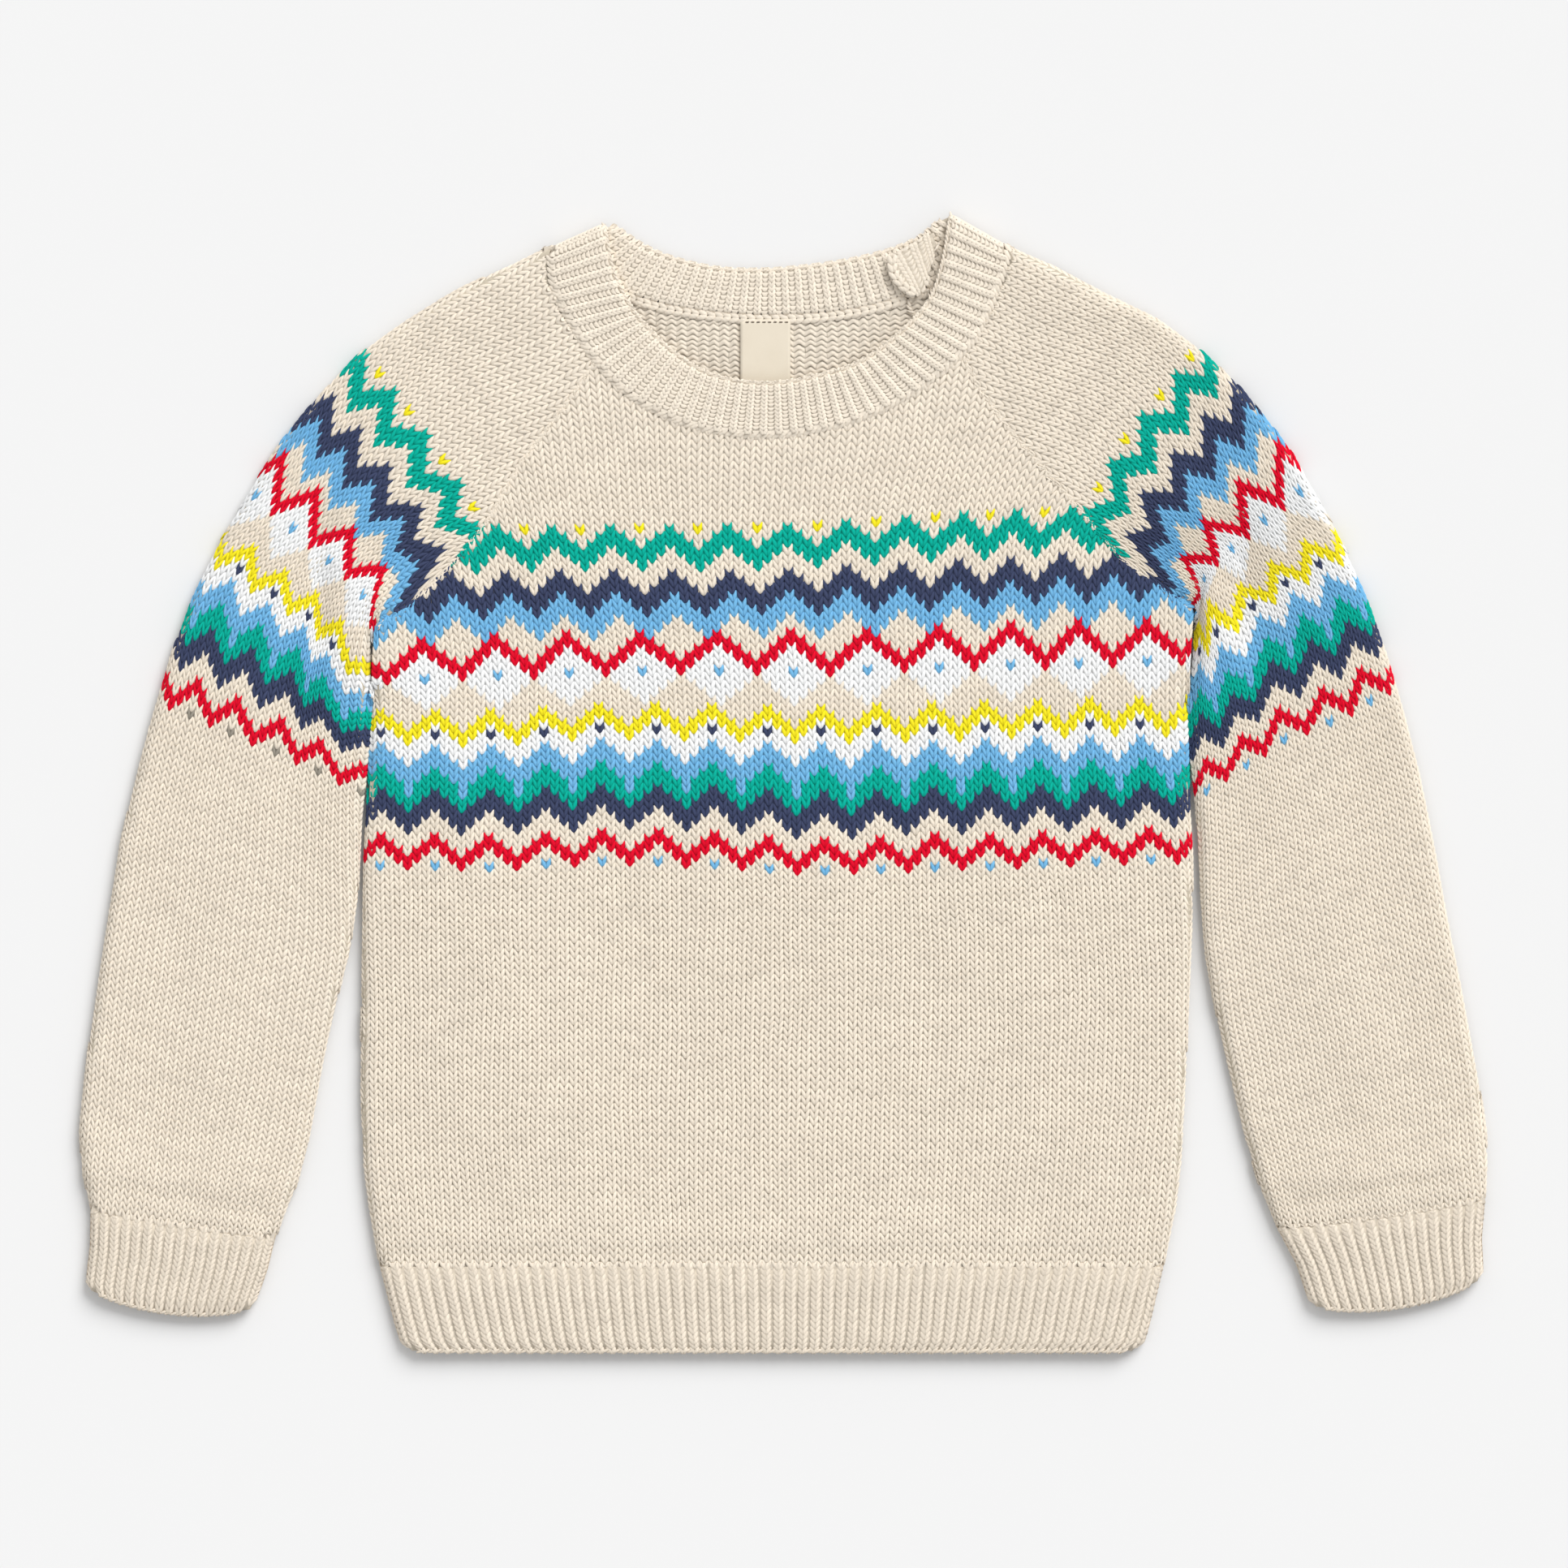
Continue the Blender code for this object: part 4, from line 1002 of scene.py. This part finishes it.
shaded_grounds = {
    "cream_knit": shade_material("cream_shaded_ground", SHADED_GROUND),
    "cream_rib": shade_material("cream_rib_shaded_ground", SHADED_RIB_GROUND),
}
SHELL_SLOTS = {
    "front": "cream_knit", "back": "cream_knit", "hem_rib_front": "cream_rib", "hem_rib_back": "cream_rib",
    "sleeve_right": "cream_knit", "sleeve_left": "cream_knit", "cuff_right": "cream_rib", "cuff_left": "cream_rib",
    "neckband": "cream_rib",
}  # fmt: skip
shells = {node: shell(node + "_cloth", node, shaded_grounds[slot]) for node, slot in SHELL_SLOTS.items()}

front_side, back_side = Side("front"), Side("back", lower=True)
body = (BODY_GUIDES, BODY_WALES)
on_front = [
    knit("front_pattern_stitches", front_side, *body, (BODY_FIRST, PATTERN_END), BODY_RANGE, PATTERN_STITCH),
    knit("front_plain_stitches", front_side, *body, (PATTERN_END, BODY_LAST), BODY_RANGE, PLAIN_STITCH),
]
# The back's neck seam, this far under the neckband's seam line.
back_seam_line = [(row.seam_x, row.seam_y - 1.5) for row in NECK_BACK[2:9]]
on_back = [
    knit("back_stitches", back_side, *body, (BACK_FIRST, BODY_LAST), BODY_RANGE, UNDER_STITCH),
    inside_back(),
    chain("back_neck_seam", ["back"], back_seam_line, 4.8, 3.1, CHAIN_STITCH, 0.6),
]

on_sleeve = {}
for hand, guides, last_tick in (("right", RIGHT_SLEEVE_GUIDES, "grey"), ("left", LEFT_SLEEVE_GUIDES, "light_blue")):
    node = "sleeve_" + hand
    on_sleeve[hand] = [
        knit(name, side, guides, SLEEVE_WALES, SLEEVE_COURSES, SLEEVE_RANGE, template, last_tick)
        for name, side, template in (
            (node + "_stitches", Side(node), PATTERN_STITCH),
            (node + "_under_stitches", Side(node, lower=True), UNDER_STITCH),
        )
    ]


def edge_line(edge, inset, by=0.0):
    """A hem's or cuff's bowed edge without this share at each end, moved up by so much."""
    across = np.array((edge.right_x - edge.left_x, edge.right_y - edge.left_y))
    down = np.array((across[1], -across[0])) / np.hypot(*across)
    shares = np.linspace(inset, 1.0 - inset, 9)[:, None]
    return np.array((edge.left_x, edge.left_y)) + shares * across + (bowed(edge.bow, shares) - by) * down


RIB_YARN = [(math.inf, "shaded_rib_cream")]
# Tape lies under the seams, this much below the panels' faces, so that nothing shows through between them. It
# has the cream yarn's full painted side shade.
TAPE_DROP = -0.45


def edge_chains(name, above, rib, edges, inset):
    """The rope along a hem's or cuff's edge, and the tape under the seam between it and the cloth above."""
    rope = (2.2, 2.2, ROPE_STITCH, -0.6)
    return [
        chain(name + "_edge", [rib], edge_line(edges[-1], inset, 0.6), *rope, yarns=RIB_YARN),
        chain(name + "_tape", [above, rib], edge_line(edges[0], 0.01), 3.4, 5.0, TAPE, TAPE_DROP),
    ]


on_hem_front = [
    *edge_rib("hem_front", ["hem_rib_front", "front"], HEM_EDGES, HEM_RIBS, False),
    *edge_chains("hem", "front", "hem_rib_front", HEM_EDGES, 0.012),
]
on_hem_back = edge_rib("hem_back", ["hem_rib_back", "back"], HEM_EDGES, HEM_RIBS, True)
for hand, edges in (("right", RIGHT_CUFF_EDGES), ("left", LEFT_CUFF_EDGES)):
    cuff, sleeve = "cuff_" + hand, "sleeve_" + hand
    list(edge_rib(cuff, [cuff, sleeve], edges, CUFF_RIBS, False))
    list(edge_rib(cuff + "_under", [cuff, sleeve], edges, CUFF_RIBS, True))
    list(edge_chains(cuff, sleeve, cuff, edges, 0.08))


def band_line(rows, from_top, by):
    """A line along the neckband's top edge or its seam, moved by so much towards its other edge."""
    seam, top = (np.array([(row[k], row[k + 1]) for row in rows]) for k in (0, 2))
    start, end = (top, seam) if from_top else (seam, top)
    return start + by * (end - start) / np.linalg.norm(end - start, axis=1, keepdims=True)


# How far ropes lie within the band, from its top edge and from its seam. The seam's rope lies outside.
EDGE_INSET, SEAM_INSET = 0.35, -0.8
# The raglan seams' yarn below a height.
RAGLAN_YARNS = [(98.5, "green"), (88.0, "navy"), (70.0, "light_blue")]
at_neck = ["front", "sleeve_right", "sleeve_left"]
# The ropes' width, pitch, stitch and level: along the band's top edge, and along its front seam, where it leans.
TOP_ROPE, SEAM_ROPE = (1.7, 1.9, ROPE_STITCH, -0.45), (3.8, 2.3, ROPE_STITCH, 0.95)
on_neckband = [
    *band_half("neckband_front", "neckband", NECK_FRONT, FRONT_RIBS, FRONT_BAND_COURSES),
    *band_half("neckband_back", "neckband", NECK_BACK, BACK_RIBS, BACK_BAND_COURSES, most=BACK_BAND_MOST),
    *band_half("neckband_under", "neckband", NECK_BACK, BACK_RIBS, UNDER_BAND_COURSES, lower=True),
    chain("front_neck_seam", at_neck, band_line(NECK_FRONT[1:], False, SEAM_INSET), *SEAM_ROPE, lean=0.8),
    chain("neck_tape", at_neck, band_line(NECK_FRONT, False, SEAM_INSET), 4.4, 4.0, TAPE, TAPE_DROP),
    chain("neckband_front_edge", ["neckband"], band_line(NECK_FRONT, True, EDGE_INSET), *TOP_ROPE),
    chain("neckband_back_edge", ["neckband"], band_line(NECK_BACK[2:9], True, EDGE_INSET), *TOP_ROPE),
]
for hand, line, back_line in (("right", RIGHT_RAGLAN, RIGHT_BACK_RAGLAN), ("left", LEFT_RAGLAN, LEFT_BACK_RAGLAN)):
    node, name = "sleeve_" + hand, "raglan_" + hand
    on_sleeve[hand] += [
        chain(name + "_front", ["front", node], line, 2.4, 2.3, ROPE_STITCH, -0.2, yarns=RAGLAN_YARNS),
        chain(name + "_tape", ["front", node], line, 3.0, 4.0, TAPE, TAPE_DROP),
        chain(name + "_back", ["back", node], back_line, 2.0, 2.3, ROPE_STITCH, -0.45, True, RAGLAN_YARNS),
    ]

# --- The placket's end and the label ---

PLACKET_ROWS = rows_of(
    Band,
    (49.6, 185.9, 40.4, 199.4), (53.2, 187.2, 45.4, 203.4), (56.0, 193.2, 51.4, 207.2), (58.8, 202.0, 57.0, 210.8),
)  # fmt: skip
PLACKET_LOOP = [(50.6, 187.2), (48.4, 184.4), (48.2, 181.4), (50.4, 179.2), (53.4, 179.8)]
placket = shell("placket_cloth", "placket_end", shaded_grounds["cream_rib"], 0.5, 3.0)
PLACKET_EDGE = [(41.6, 201.2), (42.0, 195.6), (44.8, 190.8), (50.4, 186.8)]
on_placket = [
    *band_half("placket", "placket_end", PLACKET_ROWS, 3, 10, fold_reach=0.0),
    chain("placket_edge", ["placket_end"], PLACKET_EDGE, 4.4, 3.0, CHAIN_STITCH, 0.3),
    chain("placket_loop", ["back"], PLACKET_LOOP, 2.2, 1.8, ROPE_STITCH, 1.3),
]

label = shell("label_cloth", "care_label", ribbon_material(), 0.0, 1.2)
# The ribbon ripples over the purl rows behind it.
LABEL_RIPPLE = 0.10
for vertex in label.data.vertices:
    x, y = vertex.co.x / MM, vertex.co.y / MM
    wave = math.sin(2.0 * math.pi * (y / (2.0 * PURL_COURSE) + 0.3 * math.cos(2.0 * math.pi * x / PURL_WALE)))
    vertex.co.z += LABEL_RIPPLE * MM * (wave - 1.0)

# The thread that holds the label: dashes along its top.
DASHES, DASH_PITCH, DASH_LENGTH, DASH_WIDTH = 8, 2.15, 1.55, 0.42
DASH_X, DASH_Y, DASH_LEVEL = -14.6, 176.3, 3.15


def thread_material():
    material, tree, shader = new_material("label_thread", 0.7, 0.1)
    fibres = noise(tree, object_places(tree), THREAD_SCALE, 2.0)
    colour = mix_colours(tree, fibres, (0.055, 0.038, 0.026), (0.16, 0.115, 0.08))
    tree.links.new(colour, shader.inputs["Base Color"])
    return material


def label_thread():
    """Each dash is a bent, pointed strand that dips into the ribbon at both ends."""
    form = Form(0.0, 0.0, 1.0, 0.0, 0.5, 0.38, 0.0, 1.0)
    dash = leg_template(1, FINE_LEG, form)
    across = DASH_X + DASH_PITCH * np.arange(DASHES)[:, None] + DASH_LENGTH * dash.v[None]
    down = np.broadcast_to(DASH_Y + DASH_WIDTH * (dash.u[None] - 0.5), across.shape)
    level = np.broadcast_to(DASH_LEVEL + dash.height[None], across.shape)
    points = np.stack([across, down, level], axis=-1).reshape(-1, 3)
    faces = (dash.faces[None] + (np.arange(DASHES) * len(dash.u))[:, None, None]).reshape(-1, 3)
    strands = np.tile(dash.strand, (DASHES, 1))
    piece = make_mesh("label_thread", points, faces, [thread_material()], np.zeros(len(faces)), {"strand": strands})
    return piece


on_label = label_thread()

# --- Floor, light and camera ---


# The key light: towards it, its width in degrees and its strength, and the strength of the even light around.
KEY_TOWARDS, KEY_WIDTH, KEY_STRENGTH, AROUND_STRENGTH = Vector((0.68, 1.08, 1.0)), 38.0, 2.42, 0.635
FLOOR_SIZE, FLOOR_LEVEL = 6.0, -0.0001


def make_stage():
    mesh = bmesh.new()
    bmesh.ops.create_grid(mesh, x_segments=1, y_segments=1, size=FLOOR_SIZE)
    data = bpy.data.meshes.new("floor")
    mesh.to_mesh(data)
    mesh.free()
    data.materials.append(floor_material())
    floor = add_object("floor", data)
    floor.location.z = FLOOR_LEVEL

    data = bpy.data.lights.new("key_light", "SUN")
    data.angle = math.radians(KEY_WIDTH)
    data.energy = KEY_STRENGTH
    light = add_object("key_light", data)
    light.location = KEY_TOWARDS
    light.rotation_mode = "QUATERNION"
    light.rotation_quaternion = KEY_TOWARDS.to_track_quat("Z", "Y")

    world = bpy.data.worlds.new("studio")
    world.use_nodes = True
    background = world.node_tree.nodes["Background"]
    background.inputs["Color"].default_value = (1.0, 1.0, 1.0, 1.0)
    background.inputs["Strength"].default_value = AROUND_STRENGTH
    bpy.context.scene.world = world
    bpy.context.scene.view_settings.view_transform = "Standard"


# The picture takes in this much of the cloth's level, seen from straight above through a long lens. In metres,
# but the lens and sensor in millimetres.
PICTURE_WIDTH, CLOTH_LEVEL = 0.599, 0.006
LENS, SENSOR = 200.0, 36.0
CAMERA_X, CAMERA_Y, CLIP_END = 0.0003, -0.0003, 50.0


def make_camera():
    data = bpy.data.cameras.new("camera")
    data.lens = LENS
    data.sensor_width = SENSOR
    data.clip_end = CLIP_END
    camera = add_object("camera", data)
    camera.location = (CAMERA_X, CAMERA_Y, PICTURE_WIDTH * LENS / SENSOR + CLOTH_LEVEL)
    bpy.context.scene.camera = camera


make_stage()
make_camera()
